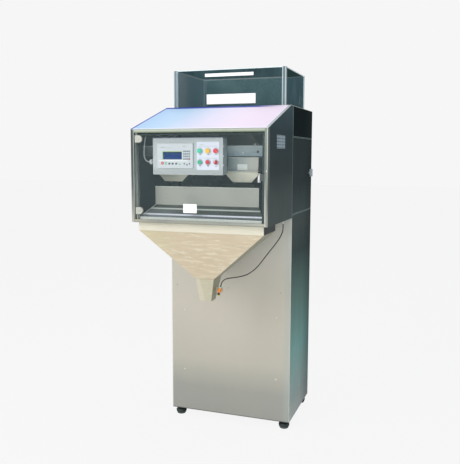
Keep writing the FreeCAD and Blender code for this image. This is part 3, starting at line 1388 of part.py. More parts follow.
def make_control_box():
    """Control box with its weighing controller, lamps, buttons and selector."""
    left, right = "-box_left", "box_right"
    front, back = "-box_front", "(-box_front + box_depth)"
    gap = "(sheet + lid_play)"
    tub = block("tub_out", (f"{left} + {gap}", f"{front} + {gap}", f"box_low + {gap}"),
                (f"{right} - {gap}", back, f"box_high - {gap}"))
    tub_in = block("tub_in", (f"{left} + 2 * sheet", f"{front}", "box_low + 2 * sheet"),
                   (f"{right} - 2 * sheet", f"{back} - sheet", "box_high - 2 * sheet"))
    gland_hole = rod("gland_hole", (f"{left} - 1", "-gland_depth", "gland_level"), "x",
                     "gland_radius - 2", "20")
    keep(cut("tub", tub, tub_in, gland_hole), "control_box")

    lid = padded("lid_body", "XZ", corners(left, "box_low", right, "box_high"), front, "lid_lip")
    pocket(lid, "XZ", f"{front} + sheet", "lid_lip - sheet",
           [corners(f"{left} + sheet", "box_low + sheet", f"{right} - sheet",
                    "box_high - sheet")])
    pocket(lid, "XZ", front, "sheet",
           [corners("-unit_left + unit_margin", "unit_low + unit_margin",
                    "-unit_right - unit_margin", "unit_high - unit_margin")])
    holes = []
    for i in range(3):
        for level in ("lamp_level", "switch_level"):
            holes.append((f"-switch_first + {i} * switch_pitch", level, "switch_hole_radius"))
    pocket(lid, "XZ", front, "sheet", circles=holes)
    keep(lid, "control_box_lid")

    bezel = rounded("bezel_rounded", block(
        "bezel_plate", ("-unit_left", f"{front} - bezel", "unit_low"),
        ("-unit_right", front, "unit_high")), (2, 4, 6, 8), "unit_corner")
    display = block("display_room", ("-display_left", f"{front} - bezel - 1", "display_low"),
                    ("-display_right", f"{front} - bezel + display_recess", "display_high"))
    inset = "(unit_margin + unit_play)"
    housing = block("unit_body", (f"-unit_left + {inset}", front, f"unit_low + {inset}"),
                    (f"-unit_right - {inset}", f"{front} + unit_body_depth",
                     f"unit_high - {inset}"))
    keep(cut("unit_cut", fused("unit_fused", bezel, housing), display), "controller")

    collars, lamps = [], []
    for i in range(3):
        spot = f"(-switch_first + {i} * switch_pitch)"
        collar = rod(f"collar_disc_{i}", (spot, f"{front} - collar_height", "switch_level"), "y",
                     "collar_radius", "collar_height")
        sleeve = rod(f"collar_sleeve_{i}", (spot, front, "switch_level"), "y",
                     "switch_hole_radius - 0.2", "button_depth")
        bore = rod(f"collar_bore_{i}", (spot, f"{front} - collar_height - 1", "switch_level"),
                   "y", "button_radius + button_play", "button_depth + collar_height + 2")
        collars.append(cut(f"collar_{i}", fused(f"collar_fused_{i}", collar, sleeve), bore))
        dome = rounded(f"lamp_dome_{i}", rod(
            f"lamp_lens_{i}", (spot, f"{front} - lamp_proud", "lamp_level"), "y",
            "lamp_radius", "lamp_proud"), (3,), "lamp_proud * 0.45")
        rim = rod(f"lamp_rim_{i}", (spot, f"{front} - collar_height", "lamp_level"), "y",
                  "collar_radius", "collar_height")
        stem = rod(f"lamp_stem_{i}", (spot, front, "lamp_level"), "y",
                   "switch_hole_radius - 0.2", "button_depth")
        lamps.append(fused(f"lamp_{i}", dome, rim, stem))
    keep(grouped("collar_group", collars), "switch_collars")
    keep(grouped("lamp_group", lamps), "indicator_lamps")
    for i, label in enumerate(("green_button", "red_button")):
        spot = f"(-switch_first + {i} * switch_pitch)"
        button = rounded(f"{label}_domed", rod(
            f"{label}_stem", (spot, f"{front} - button_proud", "switch_level"), "y",
            "button_radius", "button_proud + button_stem"), (3,), "button_proud * 0.44")
        keep(button, label)
    spot = "(-switch_first + 2 * switch_pitch)"
    knob = rod("knob_disc", (spot, f"{front} - knob_disc_proud", "switch_level"), "y",
               "button_radius", "knob_disc_proud + button_stem")
    handle = rounded("knob_handle_rounded", block(
        "knob_handle", (f"{spot} - knob_grip / 2", f"{front} - knob_proud",
                        "switch_level - knob_span / 2"),
        (f"{spot} + knob_grip / 2", f"{front} - knob_disc_proud + 1",
         "switch_level + knob_span / 2")), (2, 4, 6, 8), "knob_round")
    keep(fused("selector_fused", knob, handle), "selector_switch")

    glands = []
    nut_out = hexagon("gland_nut", ("0", "0", "0"), "gland_radius + 2", "gland_nut_height")
    nut_out.Placement = FreeCAD.Placement(FreeCAD.Vector(), TURNS["x"])
    place(nut_out, (f"{left} - gland_nut_height", "-gland_depth", "gland_level"))
    barrel = rod("gland_barrel", (f"{left} - gland_length", "-gland_depth", "gland_level"), "x",
                 "gland_radius - 2.5", "gland_length + 8")
    glands.append(fused("box_gland", nut_out, barrel))
    post = "side_gland_across"
    far_nut = hexagon("far_gland_nut", ("0", "0", "0"), "gland_radius + 2", "gland_nut_height")
    far_nut.Placement = FreeCAD.Placement(FreeCAD.Vector(), TURNS["y"])
    place(far_nut, (post, "-gland_nut_height", "side_gland_level"))
    far_barrel = rod("far_gland_barrel", (post, "-gland_tail", "side_gland_level"), "y",
                     "gland_radius - 2.5", "gland_tail")
    glands.append(fused("side_gland", far_nut, far_barrel))
    across, forward = "floor_gland_across", "-floor_gland_forward"
    floor_nut = hexagon("floor_gland_nut", (across, forward, "head_bottom - gland_nut_height"),
                        "floor_nut", "gland_nut_height")
    floor_barrel = rod("floor_gland_barrel", (across, forward, "head_bottom - gland_tail"), "z",
                       "floor_hole - 0.2", "gland_tail + 2 * sheet")
    glands.append(fused("floor_gland", floor_nut, floor_barrel))
    keep(grouped("gland_group", glands), "cable_glands")

    low, wall = "door_low + drive_rise", "col_depth - sheet"
    power_left = "power_in - col_width / 2"
    drive_left = f"{power_left} + power_width + drive_gap"
    units = [
        block("power_unit", (power_left, f"{wall} - power_depth", low),
              (f"{power_left} + power_width", wall, f"{low} + power_height")),
        block("drive_unit", (drive_left, f"{wall} - drive_depth", low),
              (f"{drive_left} + drive_width", wall, f"{low} + drive_height")),
    ]
    keep(grouped("unit_group", units), "drive_units")


make_column()
make_feet()
hinge_pins = make_side_door()
make_head(hinge_pins)
make_weigh_unit()
make_feeder()
make_hopper()
make_collector()
make_control_box()
cable("box_cable", GREY_ROUTE, "grey_cable",
      ("-box_left - gland_length", "-gland_depth", "gland_level"),
      ("side_gland_across", "-gland_tail", "side_gland_level"))
cable("sensor_cable", BLACK_ROUTE, "black_cable",
      ("sensor_x", "-sensor_depth", "plug_top"),
      ("floor_gland_across", "-floor_gland_forward", "head_bottom - gland_tail"))
doc.recompute()

faults = [item.Name for item in doc.Objects
          if {"Invalid", "Error"} & set(item.State)]
for node in nodes:
    shape = node.Shape
    if shape.isNull() or not shape.isValid() or not shape.Solids:
        faults.append(node.Label)
if faults:
    raise RuntimeError("failed: " + ", ".join(faults))
os.makedirs("parts", exist_ok=True)
for node in nodes:
    node.Shape.exportStep(f"parts/{node.Label}.step")
    box = node.Shape.BoundBox
    print(f"{node.Label}: {len(node.Shape.Solids)} solids, {len(node.Shape.Faces)} faces, "
          f"{box.XMin:.0f}..{box.XMax:.0f} {box.YMin:.0f}..{box.YMax:.0f} "
          f"{box.ZMin:.0f}..{box.ZMax:.0f}")
print(len(nodes), "nodes")
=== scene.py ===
import math
import random

import bmesh
import bpy
from mathutils import Matrix, Vector


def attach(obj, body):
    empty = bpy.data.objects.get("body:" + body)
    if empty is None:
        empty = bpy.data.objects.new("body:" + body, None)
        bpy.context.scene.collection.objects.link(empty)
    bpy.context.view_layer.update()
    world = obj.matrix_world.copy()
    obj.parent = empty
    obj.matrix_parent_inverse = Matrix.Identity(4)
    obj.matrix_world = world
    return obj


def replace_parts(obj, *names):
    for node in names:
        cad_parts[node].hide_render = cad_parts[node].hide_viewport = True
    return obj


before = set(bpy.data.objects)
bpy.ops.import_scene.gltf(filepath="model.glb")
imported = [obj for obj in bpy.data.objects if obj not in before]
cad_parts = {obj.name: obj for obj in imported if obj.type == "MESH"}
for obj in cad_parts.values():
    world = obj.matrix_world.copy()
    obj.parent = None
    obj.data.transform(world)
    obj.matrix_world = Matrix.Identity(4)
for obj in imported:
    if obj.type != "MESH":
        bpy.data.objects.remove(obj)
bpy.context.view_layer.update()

chance = random.Random(11)

# Weighing filling machine. Metres; the origin is on the floor under the machine,
# x runs to the viewer's right, y to the back, z up.
HALF_WIDTH = 0.350
FACE_PLATE = -0.420
CONTROLLER_FACE = -0.427


# Camera at the height of a standing person, a little right of the machine
def add_camera():
    lens_place = (1.141, -3.256, 1.509)
    bpy.ops.object.camera_add(
        location=lens_place,
        rotation=(math.radians(90 - 6.87), math.radians(-0.14), math.radians(19.30)))
    camera = bpy.context.object
    camera.name = "standing_view"
    camera.data.sensor_width = 36
    camera.data.lens = 631 / 464 * 36
    bpy.context.scene.camera = camera


add_camera()


# Small helpers for modelling
def let_go():
    if bpy.context.object and bpy.context.object.mode != "OBJECT":
        bpy.ops.object.mode_set(mode="OBJECT")
    bpy.ops.object.select_all(action="DESELECT")


def take(piece):
    let_go()
    piece.select_set(True)
    bpy.context.view_layer.objects.active = piece


def named(name):
    """Names the new primitive and puts its place into its mesh."""
    piece = bpy.context.object
    piece.name = name
    piece.data.name = name
    bpy.ops.object.transform_apply(location=True, rotation=True, scale=True)
    return piece


def bar(name, low, high):
    """A block between two corners, to be shaped further."""
    let_go()
    middle = [(a + b) / 2 for a, b in zip(low, high)]
    size = [b - a for a, b in zip(low, high)]
    bpy.ops.mesh.primitive_cube_add(size=1, location=middle, scale=size)
    return named(name)


def disc(name, place, radius, length, along="z", corners=32):
    """A round bar about its middle, to be shaped further."""
    let_go()
    turns = {"x": (0, math.pi / 2, 0), "y": (math.pi / 2, 0, 0), "z": (0, 0, 0)}
    bpy.ops.mesh.primitive_cylinder_add(
        vertices=corners, radius=radius, depth=length, location=place, rotation=turns[along])
    return named(name)


def choose_faces(piece, test):
    """In edit mode, selects the faces whose middle and normal pass the test."""
    take(piece)
    bpy.ops.object.mode_set(mode="EDIT")
    bpy.ops.mesh.select_mode(type="FACE")
    bpy.ops.mesh.select_all(action="DESELECT")
    mesh = bmesh.from_edit_mesh(piece.data)
    for face in mesh.faces:
        face.select_set(bool(test(face.calc_center_median(), face.normal)))
    mesh.select_flush_mode()
    bmesh.update_edit_mesh(piece.data)


def choose_edges(piece, test):
    """In edit mode, selects the edges whose two ends pass the test."""
    take(piece)
    bpy.ops.object.mode_set(mode="EDIT")
    bpy.ops.mesh.select_mode(type="EDGE")
    bpy.ops.mesh.select_all(action="DESELECT")
    mesh = bmesh.from_edit_mesh(piece.data)
    for edge in mesh.edges:
        edge.select_set(bool(test(edge.verts[0].co, edge.verts[1].co)))
    mesh.select_flush_mode()
    bmesh.update_edit_mesh(piece.data)


def soften(piece, width, steps=2, limit=30):
    """Rounds the sharp edges and shades the piece smooth across them."""
    take(piece)
    rounding = piece.modifiers.new("rounded_edges", "BEVEL")
    rounding.width = width
    rounding.segments = steps
    rounding.limit_method = "ANGLE"
    rounding.angle_limit = math.radians(limit)
    bpy.ops.object.modifier_apply(modifier=rounding.name)
    bpy.ops.object.shade_smooth_by_angle(angle=math.radians(35))
    return piece


def joined(name, parts):
    let_go()
    for part in parts:
        part.select_set(True)
    bpy.context.view_layer.objects.active = parts[0]
    bpy.ops.object.join()
    piece = bpy.context.object
    piece.name = name
    piece.data.name = name
    return piece


def copied(piece, shift, name):
    """A copy with a mesh of its own, moved within that mesh."""
    twin = piece.copy()
    twin.data = piece.data.copy()
    twin.name = name
    bpy.context.scene.collection.objects.link(twin)
    twin.data.transform(Matrix.Translation(shift))
    return twin


def fit_out(piece, finish, body="machine"):
    """Gives a finished piece its material and the body that carries it."""
    piece.data.materials.clear()
    piece.data.materials.append(finish.material)
    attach(piece, body)
    return piece


# Shader arithmetic
class Field:
    """A shader socket that takes part in sums."""

    def __init__(self, finish, socket):
        self.finish = finish
        self.socket = socket

    def _sum(self, operation, first, second=None, third=None):
        inputs = {0: first}
        if second is not None:
            inputs[1] = second
        if third is not None:
            inputs[2] = third
        node = self.finish.add("ShaderNodeMath", {"operation": operation}, inputs)
        return Field(self.finish, node.outputs[0])

    def __add__(self, other):
        return self._sum("ADD", self, other)

    __radd__ = __add__

    def __sub__(self, other):
        return self._sum("SUBTRACT", self, other)

    def __rsub__(self, other):
        return self._sum("SUBTRACT", other, self)

    def __mul__(self, other):
        return self._sum("MULTIPLY", self, other)

    __rmul__ = __mul__

    def __truediv__(self, other):
        return self._sum("DIVIDE", self, other)

    def __rtruediv__(self, other):
        return self._sum("DIVIDE", other, self)

    def __pow__(self, other):
        return self._sum("POWER", self, other)

    def __abs__(self):
        return self._sum("ABSOLUTE", self)

    def most(self, other):
        return self._sum("MAXIMUM", self, other)

    def least(self, other):
        return self._sum("MINIMUM", self, other)

    def wave(self, length):
        """A smooth wave from 0 to 1 with the given length."""
        return 0.5 + 0.5 * self._sum("SINE", self * (2 * math.pi / length))

    def beyond(self, level, blur):
        """0 below the level and 1 above it, over a soft edge."""
        node = self.finish.add(
            "ShaderNodeMapRange", {"interpolation_type": "SMOOTHSTEP"},
            {"Value": self, "From Min": level - blur, "From Max": level + blur})
        return Field(self.finish, node.outputs[0])

    def within(self, low, high, blur):
        return self.beyond(low, blur) * (1 - self.beyond(high, blur))


class Finish:
    """One material: its principled shader and the nodes that vary it."""

    def __init__(self, name, slot, colour, rough, metal=0.0, **fixed):
        self.slot = slot
        self.material = bpy.data.materials.new(name)
        self.material.use_nodes = True
        self.tree = self.material.node_tree
        self.tree.nodes.clear()
        self.shader = self.add("ShaderNodeBsdfPrincipled")
        output = self.add("ShaderNodeOutputMaterial")
        self.tree.links.new(self.shader.outputs[0], output.inputs["Surface"])
        self.where = self.add("ShaderNodeTexCoord").outputs["Object"]
        split = self.add("ShaderNodeSeparateXYZ", inputs={0: self.where})
        self.x, self.y, self.z = (Field(self, socket) for socket in split.outputs)
        self.set("Base Color", (*colour, 1))
        self.set("Roughness", rough)
        self.set("Metallic", metal)
        for socket, value in fixed.items():
            self.set(socket.replace("_", " "), value)

    def add(self, kind, settings=None, inputs=None):
        node = self.tree.nodes.new(kind)
        for key, value in (settings or {}).items():
            if key == "stops":
                self._stops(node.color_ramp, value)
            else:
                setattr(node, key, value)
        for key, value in (inputs or {}).items():
            if isinstance(value, Field):
                self.tree.links.new(value.socket, node.inputs[key])
            elif isinstance(value, bpy.types.NodeSocket):
                self.tree.links.new(value, node.inputs[key])
            else:
                node.inputs[key].default_value = value
        return node

    @staticmethod
    def _stops(ramp, stops):
        while len(ramp.elements) < len(stops):
            ramp.elements.new(0.5)
        for element, (place, colour) in zip(ramp.elements, stops):
            element.position = place
            element.color = (*colour, 1)

    def set(self, socket, value):
        target = self.shader.inputs[socket]
        if isinstance(value, Field):
            self.tree.links.new(value.socket, target)
        elif isinstance(value, bpy.types.NodeSocket):
            self.tree.links.new(value, target)
        else:
            target.default_value = value

    def noise(self, size, stretch=(1, 1, 1), detail=3.0, rough=0.5, seed=0.0):
        """Cloudy noise from 0 to 1; size is the width of a cloud in metres."""
        spread = self.add("ShaderNodeMapping", inputs={
            "Vector": self.where, "Location": (seed, seed * 0.7, seed * 1.3),
            "Scale": tuple(1 / (size * s) for s in stretch)})
        node = self.add("ShaderNodeTexNoise", inputs={
            "Vector": spread.outputs[0], "Scale": 1.0, "Detail": detail, "Roughness": rough})
        return Field(self, node.outputs[0])

    def mix(self, mask, first, second):
        """The first colour where the mask is 0, the second where it is 1."""
        node = self.add("ShaderNodeMix", {"data_type": "RGBA"}, {0: mask, 6: first, 7: second})
        return node.outputs[2]

    def ramp(self, field, stops):
        node = self.add("ShaderNodeValToRGB", {"stops": stops}, {0: field})
        return node.outputs[0]

    def facing(self, axis):
        """The share of the surface's normal along one axis of the object."""
        normal = self.add("ShaderNodeNewGeometry").outputs["Normal"]
        split = self.add("ShaderNodeSeparateXYZ", inputs={0: normal})
        return Field(self, split.outputs["XYZ".index(axis.upper())])

    def relief(self, height, depth, edge=0.0):
        """Bump from a height field; edge rounds sharp edges to that radius."""
        inputs = {"Height": height, "Strength": 1.0, "Distance": depth}
        if edge:
            inputs["Normal"] = self.add(
                "ShaderNodeBevel", {"samples": 4}, {"Radius": edge}).outputs[0]
        self.set("Normal", self.add("ShaderNodeBump", inputs=inputs).outputs[0])


def linear(red, green, blue):
    """A screen colour, 0 to 255, as the shader's linear colour."""
    def step(level):
        share = level / 255
        return share / 12.92 if share <= 0.04045 else ((share + 0.055) / 1.055) ** 2.4
    return step(red), step(green), step(blue)


def tint(*screen):
    return (*linear(*screen), 1)


def sheet_steel(name, slot, light, dark, rough=0.36, metal=0.55, run="z", grain=0.0005,
                cloud=0.18, seed=0.0, edge=0.0008, low=None):
    """Brushed sheet: fine grain along one axis, cloudy tone, faint handling marks."""
    finish = Finish(name, slot, linear(*light), rough, metal)
    stretch = {"x": (60, 1, 1), "y": (1, 60, 1), "z": (1, 1, 60)}[run]
    fine = finish.noise(grain, stretch, 2, 0.6, seed)
    broad = finish.noise(cloud, (1, 1, 1.6), 3, 0.55, seed + 3)
    marks = finish.noise(0.012, (1, 1, 0.4), 5, 0.7, seed + 7)
    tone = 0.55 * broad + 0.3 * fine + 0.15 * marks
    colour = finish.mix(tone, tint(*dark), tint(*light))
    if low:
        level, blur, shade = low
        colour = finish.mix(finish.z.beyond(level, blur), tint(*shade), colour)
    finish.set("Base Color", colour)
    finish.set("Roughness", rough - 0.08 + 0.10 * fine + 0.08 * marks)
    finish.relief(0.7 * fine + 0.3 * marks, 0.00025, edge)
    return finish


def moulded(name, slot, screen, rough=0.42, seed=0.0, speck=0.0004, wear=12, **fixed):
    """Moulded plastic or rubber: fine texture, slightly uneven tone."""
    finish = Finish(name, slot, linear(*screen), rough, 0.0, **fixed)
    texture = finish.noise(speck, detail=2, seed=seed)
    cloud = finish.noise(0.03, detail=3, seed=seed + 2)
    worn = [max(0, level - wear) for level in screen]
    finish.set("Base Color", finish.mix(0.5 * cloud + 0.5 * texture, tint(*worn), tint(*screen)))
    finish.set("Roughness", rough - 0.05 + 0.1 * texture)
    finish.relief(texture, 0.00008, 0.0005)
    return finish


# Finishes
def front_sheet():
    """Satin front of the column: warm at mid height, greyer and cooler near the floor."""
    finish = Finish("column_front_satin", "satin_steel", linear(194, 190, 177), 0.42, 0.2,
                    Specular_IOR_Level=0.3)
    fine = finish.noise(0.0005, (1, 1, 80), 2, 0.6)
    broad = finish.noise(0.35, (1, 1, 2.2), 2, 0.5, 4)
    streak = finish.noise(0.05, (1, 1, 14), 3, 0.6, 9)
    height = finish.ramp(finish.z / 1.2, [
        (0.03, linear(142, 146, 142)), (0.16, linear(144, 147, 142)),
        (0.30, linear(184, 181, 168)), (0.55, linear(194, 188, 175)),
        (0.75, linear(192, 188, 176)), (0.97, linear(188, 188, 178))])
    warm = finish.mix(0.55 * broad + 0.2 * streak, tint(172, 174, 168), tint(206, 194, 176))
    colour = finish.mix(0.34, height, warm)
    colour = finish.mix(0.10 * fine, colour, tint(120, 120, 112))
    edge = finish.x.beyond(0.318, 0.012)
    colour = finish.mix(0.35 * edge, colour, tint(166, 178, 174))
    # Painted highlight along both side corners of the front.
    edge = abs(finish.x).beyond(0.3465, 0.0012)
    colour = finish.mix(0.35 * edge, colour, tint(216, 218, 210))
    # Painted light: the upper right of the front, in shade under the head, is mixed paler.
    shade = finish.x.beyond(0.05, 0.12) * finish.z.beyond(0.95, 0.20)
    colour = finish.mix(0.30 * shade, colour, tint(222, 226, 220))
    # Painted shade along the bottom hem.
    hem_lighting = 1 - finish.z.beyond(0.0495, 0.0015)
    colour = finish.mix(0.75 * hem_lighting, colour, tint(70, 74, 74))
    marks = None
    for across, level, reach in ((-0.317, 0.777, 0.004), (0.294, 0.772, 0.0035),
                                 (-0.008, 0.780, 0.003)):
        spot = ((finish.x - across) * (finish.x - across)
                + (finish.z - level) * (finish.z - level)) ** 0.5
        dent = 1 - spot.beyond(reach, 0.002)
        marks = dent if marks is None else marks.most(dent)
    colour = finish.mix(0.45 * marks, colour, tint(110, 108, 100))
    finish.set("Base Color", colour)
    finish.set("Roughness", 0.38 + 0.1 * fine + 0.06 * broad)
    finish.relief(0.75 * fine + 0.25 * broad, 0.0002, 0.0008)
    return finish


def side_sheet():
    """Right side: a painted reflection, almost black at the top and teal-grey towards the floor, with
    painted highlights along its seams.
    """
    finish = Finish("column_side_dark", "dark_panel", linear(64, 75, 73), 0.5, 0.0,
                    Specular_IOR_Level=0.0)
    fine = finish.noise(0.0005, (1, 1, 80), 2, 0.6, 2)
    broad = finish.noise(0.22, (1, 1, 2.5), 3, 0.55, 6)
    streak = finish.noise(0.035, (1, 1, 9), 3, 0.6, 12)
    # Painted reflection: pale near the floor, almost black at the top, darker towards the back.
    column = finish.ramp(finish.z / 1.8, [
        (0.03, linear(222, 226, 222)), (0.08, linear(192, 208, 204)),
        (0.24, linear(152, 200, 194)), (0.40, linear(124, 156, 148)),
        (0.55, linear(80, 94, 92)), (0.63, linear(92, 100, 99)), (0.68, linear(88, 98, 97)),
        (0.76, linear(64, 72, 74)), (0.86, linear(60, 68, 69)), (0.893, linear(58, 66, 68)),
        (0.897, linear(14, 20, 24)), (1.0, linear(10, 15, 19))])
    column = finish.mix(0.45 * finish.y.beyond(0.36, 0.12), column, tint(44, 52, 52))
    # Painted reflection on the head's right side.
    head = finish.ramp((finish.z - 1.18) / 0.6, [
        (0.0, linear(106, 114, 113)), (0.2, linear(100, 108, 107)), (0.42, linear(76, 84, 84)),
        (0.5, linear(74, 82, 84)), (0.75, linear(70, 84, 90)), (0.95, linear(88, 108, 116))])
    colour = finish.mix(finish.y.beyond(-0.001, 0.0008), head, column)
    colour = finish.mix(0.30 * broad + 0.15 * streak, colour, tint(34, 42, 42))
    colour = finish.mix(0.10 * fine, colour, tint(140, 160, 155))
    # Painted highlights along the two horizontal seams and down the corner where head and column meet.
    behind = finish.y.beyond(0.001, 0.0005)
    hem_lighting = behind * finish.z.within(1.6060, 1.6130, 0.0005)
    hem_lighting = hem_lighting.most(behind * finish.z.within(1.1960, 1.2040, 0.0005))
    fold = finish.y.within(-0.0045, 0.0045, 0.0007) * finish.z.beyond(0.9, 0.3)
    hem_lighting = hem_lighting.most(0.8 * fold)
    colour = finish.mix(hem_lighting * (0.55 + 0.45 * streak), colour, tint(158, 176, 174))
    finish.set("Base Color", colour)
    finish.set("Roughness", 0.42 + 0.1 * fine + 0.05 * streak)
    finish.relief(0.7 * fine + 0.3 * streak, 0.0002, 0.0009)
    return finish


def cover_sheet():
    """Sloped cover: light blue on the left, lilac on the right, blue film at its edges."""
    finish = Finish("sloped_cover_film", "cover_steel", linear(226, 226, 248), 0.5, 0.0,
                    Specular_IOR_Level=0.2)
    fine = finish.noise(0.0006, (70, 1, 1), 2, 0.6)
    broad = finish.noise(0.25, (1.6, 1, 1), 2, 0.5, 3)
    across = (finish.x + 0.35) / 0.70 + 0.12 * (broad - 0.5)
    colour = finish.ramp(across, [
        (0.0, linear(158, 190, 222)), (0.22, linear(176, 202, 226)),
        (0.50, linear(216, 212, 230)), (0.75, linear(228, 214, 230)),
        (1.0, linear(226, 212, 228))])
    slant = finish.x.beyond(0.3385, 0.0008)
    colour = finish.mix(slant, colour, finish.mix(broad, tint(128, 138, 140), tint(176, 186, 184)))
    # Painted highlights on the right edge and along the front fold.
    rim = finish.x.beyond(0.3478, 0.0006)
    colour = finish.mix(0.7 * rim, colour, tint(226, 234, 232))
    brow = 1 - finish.y.beyond(-0.4630, 0.0015)
    colour = finish.mix(0.6 * brow, colour, tint(236, 238, 246))
    ridge = finish.y.beyond(-0.080, 0.003) * (1 - finish.x.beyond(0.24, 0.10))
    left = 1 - finish.x.beyond(-0.3395, 0.0010)
    colour = finish.mix(ridge.most(left), colour, tint(38, 58, 160))
    colour = finish.mix(0.08 * fine, colour, tint(150, 158, 190))
    finish.set("Base Color", colour)
    finish.set("Roughness", 0.46 + 0.1 * fine)
    finish.relief(0.6 * fine + 0.4 * broad, 0.0003, 0.001)
    return finish


def frame_sheet():
    """Polished head frame: painted highlights and painted shade in bands along each bar, painted shade on
    the inner flange behind the glass, painted dark reflection on the outer sides.
    """
    finish = Finish("head_frame_polished", "frame_steel", linear(180, 186, 176), 0.4, 0.15,
                    Specular_IOR_Level=0.15)
    fine = finish.noise(0.0006, (1, 1, 30), 2, 0.6, 13)
    smear = finish.noise(0.06, (1, 1, 2.5), 3, 0.6, 14)
    across = abs(finish.x)
    right_half = finish.x.beyond(0.0, 0.01)
    height = (finish.z - 1.18) / 0.46
    # Painted light and shade down the left stile: pale at the foot, dark at the top.
    left = finish.ramp(height, [
        (0.0, linear(196, 192, 176)), (0.15, linear(150, 152, 142)), (0.40, linear(78, 84, 84)),
        (0.75, linear(42, 50, 49)), (1.0, linear(48, 56, 55))])
    left = finish.mix(1 - across.beyond(0.3385, 0.0014), left, tint(140, 150, 148))
    # Right stile: painted light and shade by height, a painted highlight on its crest, a painted dark
    # line on its outer edge and painted light low on its inner side.
    right = finish.ramp(height, [
        (0.0, linear(158, 160, 152)), (0.25, linear(138, 142, 134)),
        (0.32, linear(124, 132, 128)), (0.5, linear(118, 126, 118)),
        (0.8, linear(124, 134, 129)), (1.0, linear(140, 148, 140))])
    crest = finish.ramp(height, [
        (0.0, linear(146, 150, 144)), (0.3, linear(122, 130, 122)), (0.5, linear(160, 168, 160)),
        (0.7, linear(198, 206, 194)), (1.0, linear(204, 212, 198))])
    right = finish.mix(across.beyond(0.3430, 0.0010), right, crest)
    right = finish.mix(across.beyond(0.3474, 0.0006) * finish.z.beyond(1.26, 0.04), right,
                       tint(66, 76, 74))
    low_inner = (1 - across.beyond(0.3385, 0.0012)) * (1 - finish.z.beyond(1.36, 0.08))
    right = finish.mix(0.8 * low_inner, right, tint(206, 204, 190))
    stile = finish.mix(right_half, left, right)
    # Painted highlight on top of the lintel over a darker line; painted light and shade along the sill
    # over a darker bottom line.
    lintel = finish.mix(finish.z.beyond(1.6255, 0.0016), tint(128, 140, 120), tint(184, 191, 176))
    sill = finish.ramp((finish.x + 0.35) / 0.7, [
        (0.0, linear(182, 178, 160)), (0.2, linear(148, 150, 142)), (0.45, linear(160, 162, 148)),
        (0.7, linear(152, 156, 148)), (1.0, linear(176, 176, 164))])
    sill = finish.mix(1 - finish.z.beyond(1.1850, 0.0008), sill, tint(140, 138, 124))
    bars = finish.mix(finish.z.beyond(1.4, 0.02), sill, lintel)
    colour = finish.mix(across.beyond(0.3330, 0.0004), bars, stile)
    colour = finish.mix(0.12 + 0.30 * smear, colour, tint(104, 110, 106))
    mitre = 1 - abs((0.350 - across) - (1.636 - finish.z)).beyond(0.0007, 0.0004)
    mitre = mitre.most(1 - abs((0.350 - across) - (finish.z - 1.182)).beyond(0.0007, 0.0004))
    colour = finish.mix(0.4 * mitre, colour, tint(96, 100, 98))
    # Inner flange behind the glass: painted shade by height, deeper painted shade at the far left,
    # painted light on its lit edges and low down.
    deep = finish.mix(right_half, finish.ramp(height, [
        (0.0, linear(150, 146, 130)), (0.25, linear(150, 148, 138)), (0.42, linear(142, 142, 138)),
        (0.55, linear(122, 122, 120)), (0.70, linear(102, 104, 100)), (0.84, linear(44, 52, 50)),
        (1.0, linear(38, 46, 44))]), tint(44, 54, 56))
    lit = right_half * across.beyond(0.3260, 0.0008) * finish.z.beyond(1.36, 0.03)
    lit = lit.most((1 - right_half) * across.beyond(0.3300, 0.0006) * finish.z.beyond(1.26, 0.03))
    deep = finish.mix(lit, deep, tint(140, 150, 149))
    far_left = (1 - right_half) * (1 - across.beyond(0.3235, 0.0010)) * finish.z.beyond(1.25, 0.02)
    deep = finish.mix(0.85 * far_left, deep, tint(36, 44, 42))
    deep = finish.mix(across.beyond(0.3155, 0.001), tint(32, 42, 40), deep)
    low_flange = (1 - finish.z.beyond(1.35, 0.02)) * (1 - across.beyond(0.3155, 0.001))
    deep = finish.mix(low_flange, deep, tint(198, 202, 198))
    inner = finish.y.beyond(-0.4575, 0.002)
    colour = finish.mix(inner, colour, deep)
    # Outer sides: painted dark reflection, like the side panels.
    outer = across.beyond(0.3496, 0.0002) * finish.y.beyond(-0.4665, 0.0006)
    colour = finish.mix(outer, colour, finish.mix(smear, tint(48, 58, 60), tint(70, 80, 82)))
    finish.set("Base Color", colour)
    finish.set("Roughness", 0.34 + 0.12 * fine + 0.08 * smear)
    finish.relief(0.5 * fine + 0.5 * smear, 0.0003, 0.0009)
    return finish


